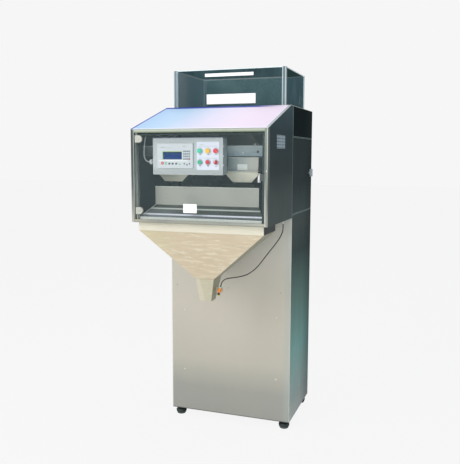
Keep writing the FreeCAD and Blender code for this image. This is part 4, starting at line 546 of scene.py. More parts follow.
def splash_sheet():
    """Splash plate: satin upright sheet over a darker apron of painted shade, with painted highlights on
    its folds and top edge.
    """
    finish = Finish("splash_satin_sheet", "inner_steel", linear(166, 170, 162), 0.5, 0.1,
                    Specular_IOR_Level=0.25)
    fine = finish.noise(0.0006, (40, 1, 1), 2, 0.6, 19)
    cloud = finish.noise(0.12, (1.8, 1, 1), 3, 0.55, 20)
    plate = finish.mix(cloud, tint(146, 149, 141), tint(172, 175, 165))
    # Painted shade on the apron: darker towards its upper part and to the right, with painted light low
    # on the left.
    apron = finish.ramp((finish.z - 1.182) / 0.082, [
        (0.0, linear(120, 122, 122)), (0.30, linear(120, 126, 130)), (0.40, linear(112, 118, 128)),
        (0.55, linear(72, 78, 74)), (0.74, linear(66, 72, 68)), (0.84, linear(70, 75, 70)),
        (1.0, linear(60, 66, 60))])
    apron = finish.mix(0.45 * finish.x.beyond(0.0, 0.12), apron, tint(50, 58, 54))
    near = (1 - finish.x.beyond(-0.14, 0.05)) * (1 - finish.z.beyond(1.2440, 0.0010))
    apron = finish.mix(0.40 * near, apron, tint(128, 137, 138))
    apron = finish.mix(0.26 * cloud, apron, tint(112, 120, 118))
    # Painted highlights on the apron's two folds, its flared left end and the top edge of the plate.
    apron = finish.mix(finish.z.within(1.2440, 1.2500, 0.0010), apron, tint(196, 202, 196))
    apron = finish.mix(finish.z.within(1.2185, 1.2250, 0.0010), apron, tint(232, 236, 248))
    edge = (finish.x + 0.2735 + (1.264 - finish.z) * 0.893).beyond(0.0050, 0.0010)
    apron = finish.mix(0.9 * (1 - edge) * finish.z.beyond(1.2125, 0.0006), apron, tint(210, 216, 212))
    colour = finish.mix(finish.z.beyond(1.2640, 0.0008), apron, plate)
    colour = finish.mix(0.7 * finish.z.beyond(1.3545, 0.0008), colour, tint(196, 202, 196))
    colour = finish.mix(0.12 * fine, colour, tint(110, 114, 110))
    finish.set("Base Color", colour)
    finish.set("Roughness", 0.42 + 0.12 * fine)
    finish.relief(0.6 * fine + 0.4 * cloud, 0.0003, 0.0006)
    return finish


def box_sheet():
    """Control box: pale grey face, painted light and shade on the right flank, thin dark line on its top
    edge.
    """
    finish = Finish("box_enamel", "box_enamel", linear(176, 184, 188), 0.42, 0.0,
                    Specular_IOR_Level=0.3)
    peel = finish.noise(0.0016, detail=2, seed=3)
    cloud = finish.noise(0.05, (1, 1, 0.7), 3, 0.55, 5)
    face = finish.mix(0.6 * cloud + 0.4 * peel, tint(172, 180, 183), tint(190, 198, 199))
    # Painted light and shade on the flank, picked by the way the surface faces.
    flank = finish.mix(cloud, tint(124, 146, 154), tint(222, 236, 238))
    side = finish.facing("x").beyond(0.6, 0.2)
    top = finish.z.beyond(1.5948, 0.0006)
    colour = finish.mix(side, face, flank)
    colour = finish.mix(0.8 * top, colour, tint(72, 74, 128))
    low = 1 - finish.z.beyond(1.4440, 0.012)
    colour = finish.mix(0.5 * low * (1 - side), colour, tint(152, 157, 155))
    foot = 1 - finish.z.beyond(1.4196, 0.0006)
    colour = finish.mix(0.5 * foot, colour, tint(222, 228, 224))
    finish.set("Base Color", colour)
    finish.set("Roughness", 0.36 + 0.1 * peel)
    finish.relief(peel, 0.00008, 0.0008)
    return finish


def crossbeam_sheet():
    """Front crossbeam: folded sheet with wavy grey-blue reflections."""
    finish = Finish("crossbeam_wavy", "inner_steel", linear(130, 146, 150), 0.4, 0.1,
                    Specular_IOR_Level=0.3)
    wave = finish.noise(0.045, (2.4, 1, 0.5), 4, 0.6, 23)
    fine = finish.noise(0.0006, (50, 1, 1), 2, 0.6, 24)
    colour = finish.ramp(0.25 + 0.5 * wave + (finish.z - 1.530) * 6, [
        (0.2, linear(84, 100, 106)), (0.42, linear(120, 138, 144)), (0.6, linear(146, 160, 162)),
        (0.85, linear(96, 114, 120))])
    # Painted shade on the left end beside the control box; painted highlights on the top and bottom
    # folds.
    colour = finish.mix(0.7 * (1 - finish.x.beyond(-0.20, 0.02)), colour, tint(46, 54, 52))
    hem_lighting = finish.z.beyond(1.5525, 0.0006).most(1 - finish.z.beyond(1.5100, 0.0006))
    colour = finish.mix(0.5 * hem_lighting, colour, tint(160, 174, 178))
    colour = finish.mix(0.12 * fine, colour, tint(70, 84, 88))
    finish.set("Base Color", colour)
    finish.set("Roughness", 0.32 + 0.12 * wave)
    finish.relief(0.8 * wave + 0.2 * fine, 0.0008, 0.0008)
    return finish


def bucket_finish():
    """Weigh bucket and flap: satin upper walls with painted shade in the middle, a brighter V-bottom
    painted as light, painted shade on its right-facing walls, painted highlights on folds, rim and tip.
    """
    finish = Finish("bucket_sheet", "bucket_steel", linear(150, 158, 156), 0.42, 0.3,
                    Specular_IOR_Level=0.3)
    fine = finish.noise(0.0005, (1, 1, 50), 2, 0.6, 29)
    cloud = finish.noise(0.05, (1, 1, 1.6), 3, 0.55, 31)
    ripple = finish.noise(0.016, (1.6, 1, 0.7), 4, 0.65, 37)
    upper = finish.mix(cloud, tint(138, 149, 148), tint(162, 170, 167))
    shade = 1 - abs(finish.x).beyond(0.150, 0.045)
    upper = finish.mix(0.62 * shade, upper, tint(102, 122, 124))
    warm = abs(finish.x).beyond(0.205, 0.03)
    upper = finish.mix(0.7 * warm, upper, tint(176, 174, 163))
    upper = finish.mix(0.35 * ripple, upper, tint(128, 142, 142))
    # V-bottom painted brighter as light, with painted shade on the left bucket's.
    lower = finish.mix(ripple, tint(176, 177, 162), tint(196, 196, 180))
    lower = finish.mix(0.4 * (1 - finish.x.beyond(0.0, 0.01)), lower, tint(150, 152, 134))
    colour = finish.mix(1 - finish.z.beyond(1.4330, 0.0012), upper, lower)
    # Painted shade on the right-facing walls of the V-bottom.
    flank = finish.facing("x") * (1 - finish.z.beyond(1.4330, 0.0012))
    colour = finish.mix(flank.beyond(0.3, 0.1), colour, tint(44, 50, 48))
    # Painted highlights on the fold, the top rim and the tip.
    fold = finish.z.within(1.4320, 1.4352, 0.0006)
    colour = finish.mix(0.7 * fold, colour, tint(214, 218, 206))
    rim = finish.z.beyond(1.5000, 0.0007)
    colour = finish.mix(0.6 * rim, colour, tint(206, 214, 210))
    tip = 1 - finish.z.beyond(1.3800, 0.0010)
    colour = finish.mix(0.5 * tip, colour, tint(224, 222, 208))
    colour = finish.mix(0.12 * fine, colour, tint(104, 110, 108))
    finish.set("Base Color", colour)
    finish.set("Roughness", 0.34 + 0.12 * fine)
    finish.relief(0.7 * fine + 0.3 * cloud, 0.0003, 0.0008)
    return finish


def trim_strip():
    """Clear corner strips of the hopper: two edges with painted highlights over a darker core, and
    painted glow on the back strips.
    """
    finish = Finish("hopper_trim", "hopper_edge", linear(150, 170, 172), 0.24, 0.0,
                    Specular_IOR_Level=0.3)
    speck = finish.noise(0.004, (1, 1, 2.5), 4, 0.65, 2)
    across = (abs(finish.x) - 0.295) / 0.020
    front = finish.y.beyond(0.1, 0.02)
    near = (finish.y + 0.010 + 0.020) / 0.020
    far = (finish.y - 0.386) / 0.020
    depth = near * (1 - front) + far * front
    # Painted highlights on the strips' edges, paler on the right-hand strips.
    lines = 1 - across.within(0.20, 0.80, 0.05)
    lines = lines * (1 - (1 - finish.x.beyond(-0.3000, 0.0004).most(finish.y.beyond(0.1, 0.02))
                          .most(1 - finish.x.beyond(-0.3042, 0.0008))))
    lines = lines * (abs(finish.facing("y")).beyond(0.5, 0.1))
    sides = (1 - depth.within(0.20, 0.80, 0.05)) * (abs(finish.facing("x")).beyond(0.5, 0.1))
    bright = lines.most(sides)
    core = finish.mix(speck, tint(52, 72, 78), tint(128, 146, 152))
    pale = finish.mix(finish.x.beyond(0.0, 0.01), tint(166, 184, 190), tint(196, 216, 220))
    colour = finish.mix(bright * (0.7 + 0.3 * speck), core, pale)
    finish.set("Base Color", colour)
    # Painted glow on the edges of the back strips, though they are no lamp.
    finish.set("Emission Color", finish.mix(
        front * bright, (0, 0, 0, 1), finish.mix(speck, tint(150, 176, 182), tint(220, 236, 240))))
    finish.set("Emission Strength", 0.5)
    finish.set("Roughness", 0.2 + 0.2 * speck)
    finish.relief(speck, 0.0002, 0.0006)
    return finish


def funnel_sheet():
    """Filling funnel: warm cream with wrinkled reflections and a paler rim band, painted shade on its
    right-facing sides and along its folds, and painted light on the stem's left facet.
    """
    finish = Finish("funnel_cream_sheet", "funnel_steel", linear(211, 201, 179), 0.46, 0.1,
                    Specular_IOR_Level=0.3)
    wave = finish.noise(0.05, (2.6, 2.6, 0.5), 4, 0.62, 5)
    swirl = finish.noise(0.022, (3.2, 3.2, 0.45), 4, 0.68, 8)
    crease = (swirl - 0.5) * 2.4 + 0.5
    fine = finish.noise(0.0006, (1, 1, 50), 2, 0.6)
    body = finish.mix(wave, tint(172, 160, 134), tint(212, 202, 178))
    body = finish.mix(0.65 * crease.most(0).least(1), body, tint(192, 174, 150))
    body = finish.mix(0.5 * (1 - crease.beyond(0.28, 0.2)), body, tint(222, 214, 196))
    fade = (-0.20 - finish.x).beyond(0.0, 0.10) * finish.z.beyond(0.95, 0.05)
    body = finish.mix(0.4 * fade, body, tint(196, 192, 152))
    stem = 1 - finish.z.beyond(0.8990, 0.001)
    stem_colour = finish.mix(swirl, tint(164, 160, 138), tint(196, 190, 168))
    # Painted light on the stem's left facet.
    facet = ((finish.x + 0.026) - (0.896 - finish.z) * 0.22).beyond(0.0, 0.0015)
    stem_colour = finish.mix(0.55 * (1 - facet), stem_colour, tint(198, 192, 176))
    body = finish.mix(stem, body, stem_colour)
    rim = finish.z.beyond(1.1385, 0.0025)
    rim_colour = finish.mix(wave, tint(200, 196, 178), tint(216, 212, 196))
    colour = finish.mix(rim, body, rim_colour)
    # Painted shade on the right-facing sides, darkest on the rim band.
    flank = finish.facing("x").beyond(0.55, 0.1)
    colour = finish.mix(flank * rim, colour, tint(44, 50, 48))
    colour = finish.mix(flank * (1 - rim), colour, tint(162, 161, 142))
    # Painted shade along the two folds.
    fold = finish.z.within(1.1355, 1.1405, 0.0012)
    colour = finish.mix(0.30 * fold, colour, tint(160, 150, 126))
    fold = finish.z.within(0.8975, 0.9015, 0.001)
    colour = finish.mix(0.45 * fold, colour, tint(150, 142, 118))
    finish.set("Base Color", colour)
    finish.set("Roughness", 0.42 + 0.12 * wave)
    finish.relief(0.6 * wave + 0.4 * swirl + 0.02 * fine, 0.0026, 0.0012)
    return finish


def acrylic_sheet():
    """Smoky acrylic of the hopper: the front sheet is clear enough to look into it; the side and back
    sheets are painted lighter as light, with painted shade and painted highlights of what is seen through
    them, and the post lines on the back sheet glow with painted light.
    """
    finish = Finish("hopper_acrylic", "acrylic", linear(42, 60, 63), 0.2, 0.0,
                    Specular_IOR_Level=0.0)
    smear = finish.noise(0.09, (1, 1, 1.8), 4, 0.65, 2)
    scuff = finish.noise(0.012, (1, 1, 2), 5, 0.75, 5)
    cloud = (0.7 * smear + 0.3 * scuff - 0.5) * 2.0 + 0.5
    cloud = cloud.most(0).least(1)
    # Back sheet painted pale as light, with painted highlights where the back-left post stands.
    inside = finish.mix(cloud, tint(92, 140, 148), tint(176, 216, 218))
    strip = (1 - abs(finish.x + 0.2950).beyond(0.0022, 0.0006)).most(1 - finish.x.beyond(-0.3040, 0.0006))
    inside = finish.mix(strip, inside, tint(228, 244, 250))
    # Side sheets painted lighter than the front as light; painted shade above the line where the back
    # sheet's top edge is seen through, a painted highlight on that line, and painted light on the near
    # left sheet.
    side = finish.mix(cloud, tint(62, 88, 96), tint(98, 126, 132))
    sill = 1.9128 + 0.1344 * finish.y
    side = finish.mix((finish.z - sill).beyond(0.001, 0.001), side, tint(56, 76, 76))
    edge = 1 - abs(finish.z - sill).beyond(0.0016, 0.0008)
    side = finish.mix(edge, side, tint(112, 136, 136))
    near_left = (1 - finish.x.beyond(-0.2, 0.01)) * (1 - abs(finish.x).beyond(0.3105, 0.0006))
    glow = finish.mix(cloud, tint(140, 166, 182), tint(186, 212, 226))
    glow = finish.mix(1 - finish.y.beyond(0.12, 0.10), glow, tint(240, 250, 255))
    side = finish.mix(near_left, side, glow)
    scratch = finish.noise(0.004, (1, 1, 7), 2, 0.6, 9).beyond(0.60, 0.03)
    scratch = scratch * finish.y.within(0.27, 0.385, 0.02) * (1 - finish.z.beyond(1.842, 0.015))
    side = finish.mix(0.7 * scratch, side, tint(170, 190, 198))
    colour = finish.mix(cloud, tint(34, 52, 56), tint(66, 88, 92))
    colour = finish.mix(abs(finish.x).beyond(0.3072, 0.0003), colour, side)
    colour = finish.mix(finish.y.beyond(0.3945, 0.0004), colour, inside)
    front = 1 - finish.y.beyond(-0.02, 0.002)
    # Painted highlights on the top edge and on the front-left post seen through the front sheet.
    brim = (finish.z - 0.0017 * front).beyond(1.9628, 0.0006)
    colour = finish.mix(brim, colour, tint(226, 240, 242))
    bead = (1 - abs(finish.x + 0.2925).beyond(0.0020, 0.0005)) * (1 - finish.y.beyond(-0.02, 0.002))
    colour = finish.mix(0.7 * bead, colour, tint(176, 198, 206))
    slope = 1.9168 + 0.315 * (-0.1417 - finish.x).most(0)
    clear = (slope - finish.z).beyond(0.0, 0.0008) * front * (1 - bead)
    finish.set("Base Color", colour)
    finish.set("Alpha", (0.985 - clear * (0.50 - 0.12 * smear)).most(0.985 * brim))
    # Painted glow on the back-left post lines, though the sheet is no lamp.
    lines = strip * finish.y.beyond(0.3945, 0.0004)
    finish.set("Emission Color", finish.mix(lines, (0, 0, 0, 1), tint(190, 214, 222)))
    finish.set("Emission Strength", 0.3)
    finish.set("Roughness", 0.2 + 0.18 * scuff * smear)
    finish.relief(smear, 0.0006)
    return finish


def glass_pane():
    """Clear tempered glass: nearly invisible, paler at its cut edges."""
    finish = Finish("door_glass", "glass", linear(150, 172, 172), 0.03, 0.0)
    haze = finish.noise(0.2, (1, 1, 1.5), 3, 0.6, 4)
    cut_edge = 1 - abs(finish.facing("y")).beyond(0.6, 0.2)
    finish.set("Base Color", finish.mix(cut_edge, tint(150, 172, 176), tint(188, 214, 204)))
    finish.set("Alpha", (0.03 + 0.05 * haze).most(0.8 * cut_edge))
    finish.set("Roughness", 0.02 + 0.05 * haze)
    return finish


def foot_rubber():
    """Rubber: near black, with a paler ring just above the floor as a painted highlight."""
    finish = Finish("foot_rubber", "rubber", linear(38, 46, 46), 0.6, 0.0)
    grain = finish.noise(0.0007, detail=2, seed=1)
    # Painted highlight: a paler ring just above the floor.
    ring = finish.z.within(0.0040, 0.0130, 0.0020)
    colour = finish.mix(grain, tint(26, 34, 35), tint(44, 54, 54))
    finish.set("Base Color", finish.mix(0.6 * ring, colour, tint(92, 108, 104)))
    finish.set("Roughness", 0.55 + 0.1 * grain)
    finish.relief(grain, 0.0001, 0.0006)
    return finish


def lamp_lenses():
    """Three lenses and their pale rims: green, yellow and red from left to right."""
    finish = Finish("lamp_lenses", "lamp_lens", linear(235, 190, 30), 0.22, 0.0, Coat_Weight=0.4)
    glow = finish.noise(0.006, detail=2, seed=3)
    green = finish.mix(glow, tint(10, 178, 140), tint(60, 222, 184))
    yellow = finish.mix(glow, tint(226, 172, 8), tint(250, 206, 40))
    red = finish.mix(glow, tint(206, 26, 48), tint(238, 60, 80))
    colour = finish.mix(finish.x.beyond(0.0155, 0.001), green, yellow)
    colour = finish.mix(finish.x.beyond(0.0565, 0.001), colour, red)
    rim = finish.y.beyond(-0.4235, 0.0003)
    finish.set("Base Color", finish.mix(rim, colour, tint(208, 212, 220)))
    finish.set("Roughness", 0.18 + 0.12 * glow + 0.15 * rim)
    finish.relief(glow, 0.0002, 0.0006)
    return finish


def sensor_body():
    """Bag sensor: yellow face, black nut, orange body, pale green connector."""
    finish = Finish("bag_sensor", "sensor_orange", linear(238, 140, 30), 0.38, 0.0)
    grain = finish.noise(0.001, detail=2, seed=1)
    lean = math.radians(15)
    along = (finish.x - 0.068) * math.sin(lean) + (finish.z - 0.858) * math.cos(lean)
    colour = finish.mix(grain, tint(226, 116, 16), tint(246, 158, 40))
    colour = finish.mix(1 - along.beyond(-0.0325, 0.0006), colour, tint(26, 28, 26))
    colour = finish.mix(1 - along.beyond(-0.0455, 0.0008), colour, tint(206, 196, 40))
    colour = finish.mix(along.beyond(-0.0075, 0.0004), colour, tint(206, 232, 224))
    colour = finish.mix(along.beyond(-0.0030, 0.0004), colour, tint(60, 168, 150))
    finish.set("Base Color", colour)
    finish.set("Roughness", 0.32 + 0.12 * grain)
    finish.relief(grain, 0.0002, 0.0006)
    return finish


def nameplate():
    """Blank type plate: grey-blue foil with four rows of plain darker bars."""
    finish = Finish("nameplate_blank", "clamp_steel", linear(128, 148, 158), 0.4, 0.0,
                    Specular_IOR_Level=0.1)
    foil = finish.noise(0.004, detail=3, seed=22)
    rows = finish.z.wave(0.0150).beyond(0.62, 0.12)
    bars = rows * finish.noise(0.016, (1, 1, 8), 1, 0.4, 5).beyond(0.42, 0.04)
    colour = finish.mix(foil, tint(128, 150, 160), tint(158, 178, 188))
    colour = finish.mix(0.75 * bars, colour, tint(58, 72, 86))
    finish.set("Base Color", colour)
    finish.set("Roughness", 0.36 + 0.1 * foil)
    finish.relief(foil, 0.0001, 0.0004)
    return finish


def display_glass():
    """Blue display with a lit yellow-green rim and faint rows of empty cells."""
    finish = Finish("display_blue", "controller_case", linear(30, 60, 116), 0.2, 0.0,
                    Specular_IOR_Level=0.02)
    glow = finish.noise(0.02, (2, 1, 1), 2, 0.5, 4)
    colour = finish.mix(glow, tint(0, 32, 92), tint(2, 50, 120))
    cells = (finish.x.wave(0.0056).beyond(0.35, 0.2) * finish.z.wave(0.0094).beyond(0.3, 0.2))
    colour = finish.mix(0.12 * cells, colour, tint(70, 106, 160))
    colour = finish.mix(0.6 * finish.z.beyond(1.5190, 0.0040), colour, tint(0, 46, 58))
    rim = (1 - finish.x.beyond(-0.1975, 0.0014)).most(finish.z.beyond(1.5275, 0.0014))
    colour = finish.mix(rim, colour, tint(150, 190, 110))
    deep = finish.z.within(1.5245, 1.5282, 0.0008) * finish.x.beyond(-0.197, 0.001)
    colour = finish.mix(deep, colour, tint(22, 36, 70))
    finish.set("Base Color", colour)
    finish.set("Roughness", 0.12 + 0.08 * glow)
    finish.set("Emission Color", colour)
    finish.set("Emission Strength", 0.04)
    return finish


def braided(name, slot, screen, gloss=0.45):
    """Cable sheath: matt, very fine lengthwise ripple, paler on top."""
    finish = Finish(name, slot, linear(*screen), gloss, 0.0)
    ripple = finish.noise(0.0016, detail=2, seed=2)
    paler_on_top = finish.facing("z").beyond(0.4, 0.4)
    lighter = [min(255, level + 14) for level in screen]
    colour = finish.mix(0.6 * ripple, tint(*screen), tint(*lighter))
    finish.set("Base Color", finish.mix(0.10 * paler_on_top, colour, tint(150, 150, 145)))
    finish.set("Roughness", gloss + 0.1 * ripple)
    finish.relief(ripple, 0.0001)
    return finish


front_satin = front_sheet()
side_dark_reflection = side_sheet()
plain_satin = sheet_steel("plain_satin_sheet", "satin_steel", (190, 190, 182), (158, 160, 154),
                          run="z", seed=21)
frame_bright = frame_sheet()
cover_film = cover_sheet()
funnel_cream = funnel_sheet()
inner_slate = sheet_steel("inner_slate_sheet", "inner_steel", (90, 105, 110), (44, 54, 58),
                          rough=0.38, metal=0.3, run="x", cloud=0.1, seed=17)
inner_slate.set("Specular IOR Level", 0.1)
inner_slate.set("Metallic", 0.0)
splash_satin = splash_sheet()
beam_wavy = crossbeam_sheet()
bucket_sheet = bucket_finish()
bolt_steel = sheet_steel("turned_steel", "hardware_steel", (190, 190, 186), (120, 122, 120),
                         rough=0.28, metal=0.8, run="y", cloud=0.02, seed=31, edge=0.0004)
screw_pale = sheet_steel("panel_screw_pale", "hardware_steel", (216, 216, 208), (190, 188, 178),
                         rough=0.45, metal=0.0, run="y", cloud=0.02, seed=33, edge=0.0004)
latch_pale = sheet_steel("latch_bright", "hardware_steel", (218, 230, 236), (150, 160, 166),
                         rough=0.34, metal=0.2, run="z", cloud=0.012, seed=35, edge=0.0006)
nylon_white = moulded("peg_nylon", "gland_nylon", (244, 246, 248), 0.4, 24, wear=10)
clamp_satin = sheet_steel("clamp_satin", "clamp_steel", (186, 188, 178), (160, 162, 154),
                          rough=0.4, metal=0.1, run="x", cloud=0.03, seed=37, edge=0.001)
rubber_black = foot_rubber()
hopper_trim = trim_strip()
glass_clear = glass_pane()
acrylic = acrylic_sheet()
box_enamel = box_sheet()
case_cream = moulded("controller_cream", "controller_case", (202, 209, 213), 0.45, 4, wear=8)
lens_colours = lamp_lenses()
green_cap = moulded("green_cap", "green_plastic", (24, 190, 140), 0.25, 5, Coat_Weight=0.3)
red_cap = moulded("red_cap", "red_plastic", (206, 30, 52), 0.25, 6, Coat_Weight=0.3)
selector_cap = moulded("selector_cap", "selector_plastic", (220, 44, 62), 0.28, 7, Coat_Weight=0.3)
collar_bright = moulded("collar_pale", "collar_chrome", (196, 202, 214), 0.3, 8, wear=30)
sensor_colours = sensor_body()
gland_pale = moulded("gland_nylon", "gland_nylon", (216, 221, 222), 0.5, 9, wear=24)
cell_milled = sheet_steel("milled_aluminium", "cell_aluminium", (200, 202, 204), (160, 162, 166),
                          rough=0.3, metal=0.8, run="y", cloud=0.03, seed=41)
spring_blue = sheet_steel("spring_leaf", "spring_steel", (110, 114, 120), (70, 74, 82),
                          rough=0.3, metal=0.8, run="z", cloud=0.03, seed=43)
cast_green = moulded("feeder_casting", "feeder_iron", (86, 98, 100), 0.55, 10, speck=0.0015)
coil_dark = moulded("coil_can", "coil_case", (52, 56, 60), 0.4, 11)
drive_grey = moulded("drive_case", "drive_case", (136, 142, 144), 0.5, 12)
catch_black = moulded("catch_black", "catch_plastic", (60, 66, 66), 0.5, 13)
label_white = moulded("label_paper", "clamp_steel", (250, 250, 248), 0.55, 14, wear=4)
label_soft = moulded("label_soft", "clamp_steel", (206, 213, 209), 0.5, 15, wear=14)
plate_teal = nameplate()
legend_lilac = moulded("legend_plate", "controller_case", (222, 229, 243), 0.4, 16, wear=8)
print_dark = moulded("print_dark", "controller_case", (58, 64, 74), 0.5, 17)
key_grey = moulded("key_grey", "controller_case", (138, 160, 160), 0.5, 27)
print_faint = moulded("print_faint", "controller_case", (160, 172, 176), 0.5, 18)
key_red = moulded("key_red", "controller_case", (216, 34, 50), 0.4, 19)
key_green = moulded("key_green", "controller_case", (70, 190, 140), 0.4, 20)
display_blue = display_glass()
sheath_black = braided("sheath_black", "cable_black", (3, 3, 3), 0.7)
sheath_grey = braided("sheath_grey", "cable_grey", (188, 195, 196))

NODE_FINISHES = {
    "column_frame": inner_slate, "column_front_panel": front_satin,
    "left_side_panel": plain_satin, "right_side_panel": side_dark_reflection,
    "right_top_panel": side_dark_reflection, "rear_panel": plain_satin, "panel_screws": screw_pale,
    "deck_plate": plain_satin, "feeder_shelf": inner_slate, "foot_pads": rubber_black,
    "levelling_studs": bolt_steel, "side_door": side_dark_reflection, "side_latch": latch_pale,
    "head_frame": frame_bright, "pivot_pins": bolt_steel, "glass_door": glass_clear,
    "door_clamps": clamp_satin, "door_catch": catch_black, "sloped_cover": cover_film,
    "head_left_side": inner_slate, "head_right_side": side_dark_reflection, "head_floor": inner_slate,
    "front_crossbeam": beam_wavy, "weigher_crossbar": inner_slate,
    "right_weigh_bucket": bucket_sheet, "left_weigh_bucket": bucket_sheet,
    "right_flap": bucket_sheet, "left_flap": bucket_sheet, "right_flap_shaft": bolt_steel,
    "left_flap_shaft": bolt_steel, "right_plunger": bolt_steel, "left_plunger": bolt_steel,
    "flap_solenoids": coil_dark, "load_cells": cell_milled, "right_feeder_tray": plain_satin,
    "left_feeder_tray": plain_satin, "leaf_springs": spring_blue, "feeder_bases": cast_green,
    "feeder_coils": coil_dark, "feeder_mounts": rubber_black, "hopper_posts": hopper_trim,
    "hopper_panels": acrylic, "hopper_chutes": plain_satin, "splash_plate": splash_satin,
    "collecting_chute": inner_slate, "funnel": funnel_cream, "spout": funnel_cream,
    "spout_sensor": sensor_colours, "control_box": box_enamel, "control_box_lid": box_enamel,
    "controller": case_cream, "switch_collars": collar_bright, "indicator_lamps": lens_colours,
    "green_button": green_cap, "red_button": red_cap, "selector_switch": selector_cap,
    "cable_glands": gland_pale, "drive_units": drive_grey,
}
for node_name, node_finish in NODE_FINISHES.items():
    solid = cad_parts[node_name]
    solid.data.materials.clear()
    solid.data.materials.append(node_finish.material)


# Cables, on the route points of the solid model
BOX_CABLE = [
    (-288, -390, 1479), (-299, -390, 1480), (-309, -390, 1486), (-316, -390, 1497),
    (-319, -390, 1513), (-319, -390, 1541), (-316, -389, 1573), (-317, -377, 1602),
    (-320, -350, 1620), (-322, -312, 1625), (-321, -262, 1618), (-319, -205, 1611),
    (-319, -148, 1609), (-320, -95, 1612), (-322, -55, 1618), (-322, -18, 1620),
]
SENSOR_CABLE = [
    (68, -330, 858), (71.3, -330, 870.3), (75.5, -329, 881.5), (86, -327, 892.5),
    (103, -324, 900), (128, -320, 904), (160, -310, 909), (192, -298, 918),
    (218, -287, 934), (240, -271, 955), (257, -254, 980), (281, -230, 1018),
    (306, -203, 1055), (325, -177, 1086), (334, -155, 1110), (336, -139, 1126),
    (335, -129, 1138), (334, -124, 1151), (334, -124, 1164),
]


def add_cable(name, route, diameter, finish, stands_for):
    """A smooth line through the route with a round section."""
    let_go()
    line = bpy.data.curves.new(name, "CURVE")
    line.dimensions = "3D"
    spline = line.splines.new("NURBS")
    spline.points.add(len(route) - 1)
    for point, spot in zip(spline.points, route):
        point.co = (*(level / 1000 for level in spot), 1)
    spline.order_u = 3
    spline.use_endpoint_u = True
    spline.resolution_u = 8
    line.bevel_depth = diameter / 2
    line.bevel_resolution = 3
    line.use_fill_caps = True
    piece = bpy.data.objects.new(name, line)
    bpy.context.scene.collection.objects.link(piece)
    line.materials.append(finish.material)
    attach(piece, "machine")
    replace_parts(piece, stands_for)
    return piece


add_cable("box_lead", BOX_CABLE, 0.007, sheath_grey, "box_cable")
add_cable("sensor_lead", SENSOR_CABLE, 0.005, sheath_black, "sensor_cable")


# Controls on the face of the control box
def add_display():
    pane = bar("display_pane", (-0.201, -0.4268, 1.492), (-0.097, -0.4252, 1.531))
    choose_faces(pane, lambda middle, normal: normal.y < -0.5)
    bpy.ops.mesh.inset(thickness=0.0015, depth=-0.0004)
    soften(pane, 0.0002, 1)
    fit_out(pane, display_blue)


def add_key(name, across, level, width, height, proud=0.0008):
    """A domed membrane key on the controller's face."""
    key = bar(name, (across - width / 2, CONTROLLER_FACE - proud, level - height / 2),
              (across + width / 2, CONTROLLER_FACE + 0.0002, level + height / 2))
    choose_faces(key, lambda middle, normal: normal.y < -0.5)
    bpy.ops.mesh.inset(thickness=min(width, height) * 0.22, depth=proud * 0.3)
    return soften(key, proud * 0.35, 1)


def add_keypad():
    """Twelve small keys right of the display and the row of round and square keys below."""
    keys = [add_key(f"key_{row}_{column}", -0.0858 + 0.0094 * column, 1.5307 - 0.0123 * row,
                    0.0070, 0.0074)
            for row in range(4) for column in range(4) if (row, column) != (3, 3)]
    fit_out(joined("keypad_keys", keys), key_grey)
    marks = []
    for key_row in range(4):
        for key_column in range(4):
            across, level = -0.0858 + 0.0094 * key_column, 1.5307 - 0.0123 * key_row
            mark = bar(f"key_mark_{key_row}_{key_column}",
                       (across - 0.0022, CONTROLLER_FACE - 0.0013, level - 0.0023),
                       (across + 0.0022, CONTROLLER_FACE - 0.0008, level + 0.0023))
            choose_faces(mark, lambda middle, normal: normal.y < -0.5)
            bpy.ops.mesh.inset(thickness=0.0006, depth=0)
            marks.append(soften(mark, 0.0002, 1))
    fit_out(joined("keypad_marks", marks), print_dark)
    fit_out(add_key("clear_key", -0.0576, 1.4938, 0.0074, 0.0074), key_red)
    let_go()
    bpy.ops.mesh.primitive_torus_add(
        location=(-0.2004, CONTROLLER_FACE - 0.0004, 1.4730), rotation=(math.pi / 2, 0, 0),
        major_radius=0.0050, minor_radius=0.0021, major_segments=32, minor_segments=8)
    ring = named("stop_key_ring")
    bpy.ops.object.shade_smooth_by_angle(angle=math.radians(60))
    fit_out(ring, key_red)
    fit_out(joined("start_keys", [
        add_key("start_key_upper", -0.1822, 1.4768, 0.0110, 0.0050),
        add_key("start_key_lower", -0.1822, 1.4692, 0.0110, 0.0050)]), key_green)
    dark = [add_key(f"set_key_{i}", across, 1.4711, 0.0098, 0.0088)
            for i, across in enumerate((-0.1637, -0.1457, -0.1270))]
    for i, (across, level) in enumerate(((-0.0841, 1.4707), (-0.0704, 1.4660),
                                         (-0.0575, 1.4709))):
        dark.append(add_key(f"arrow_key_{i}", across, level, 0.0062, 0.0072))
    fit_out(joined("function_keys", dark), print_dark)
    fit_out(add_key("print_key", -0.1087, 1.4690, 0.0105, 0.0046), key_green)


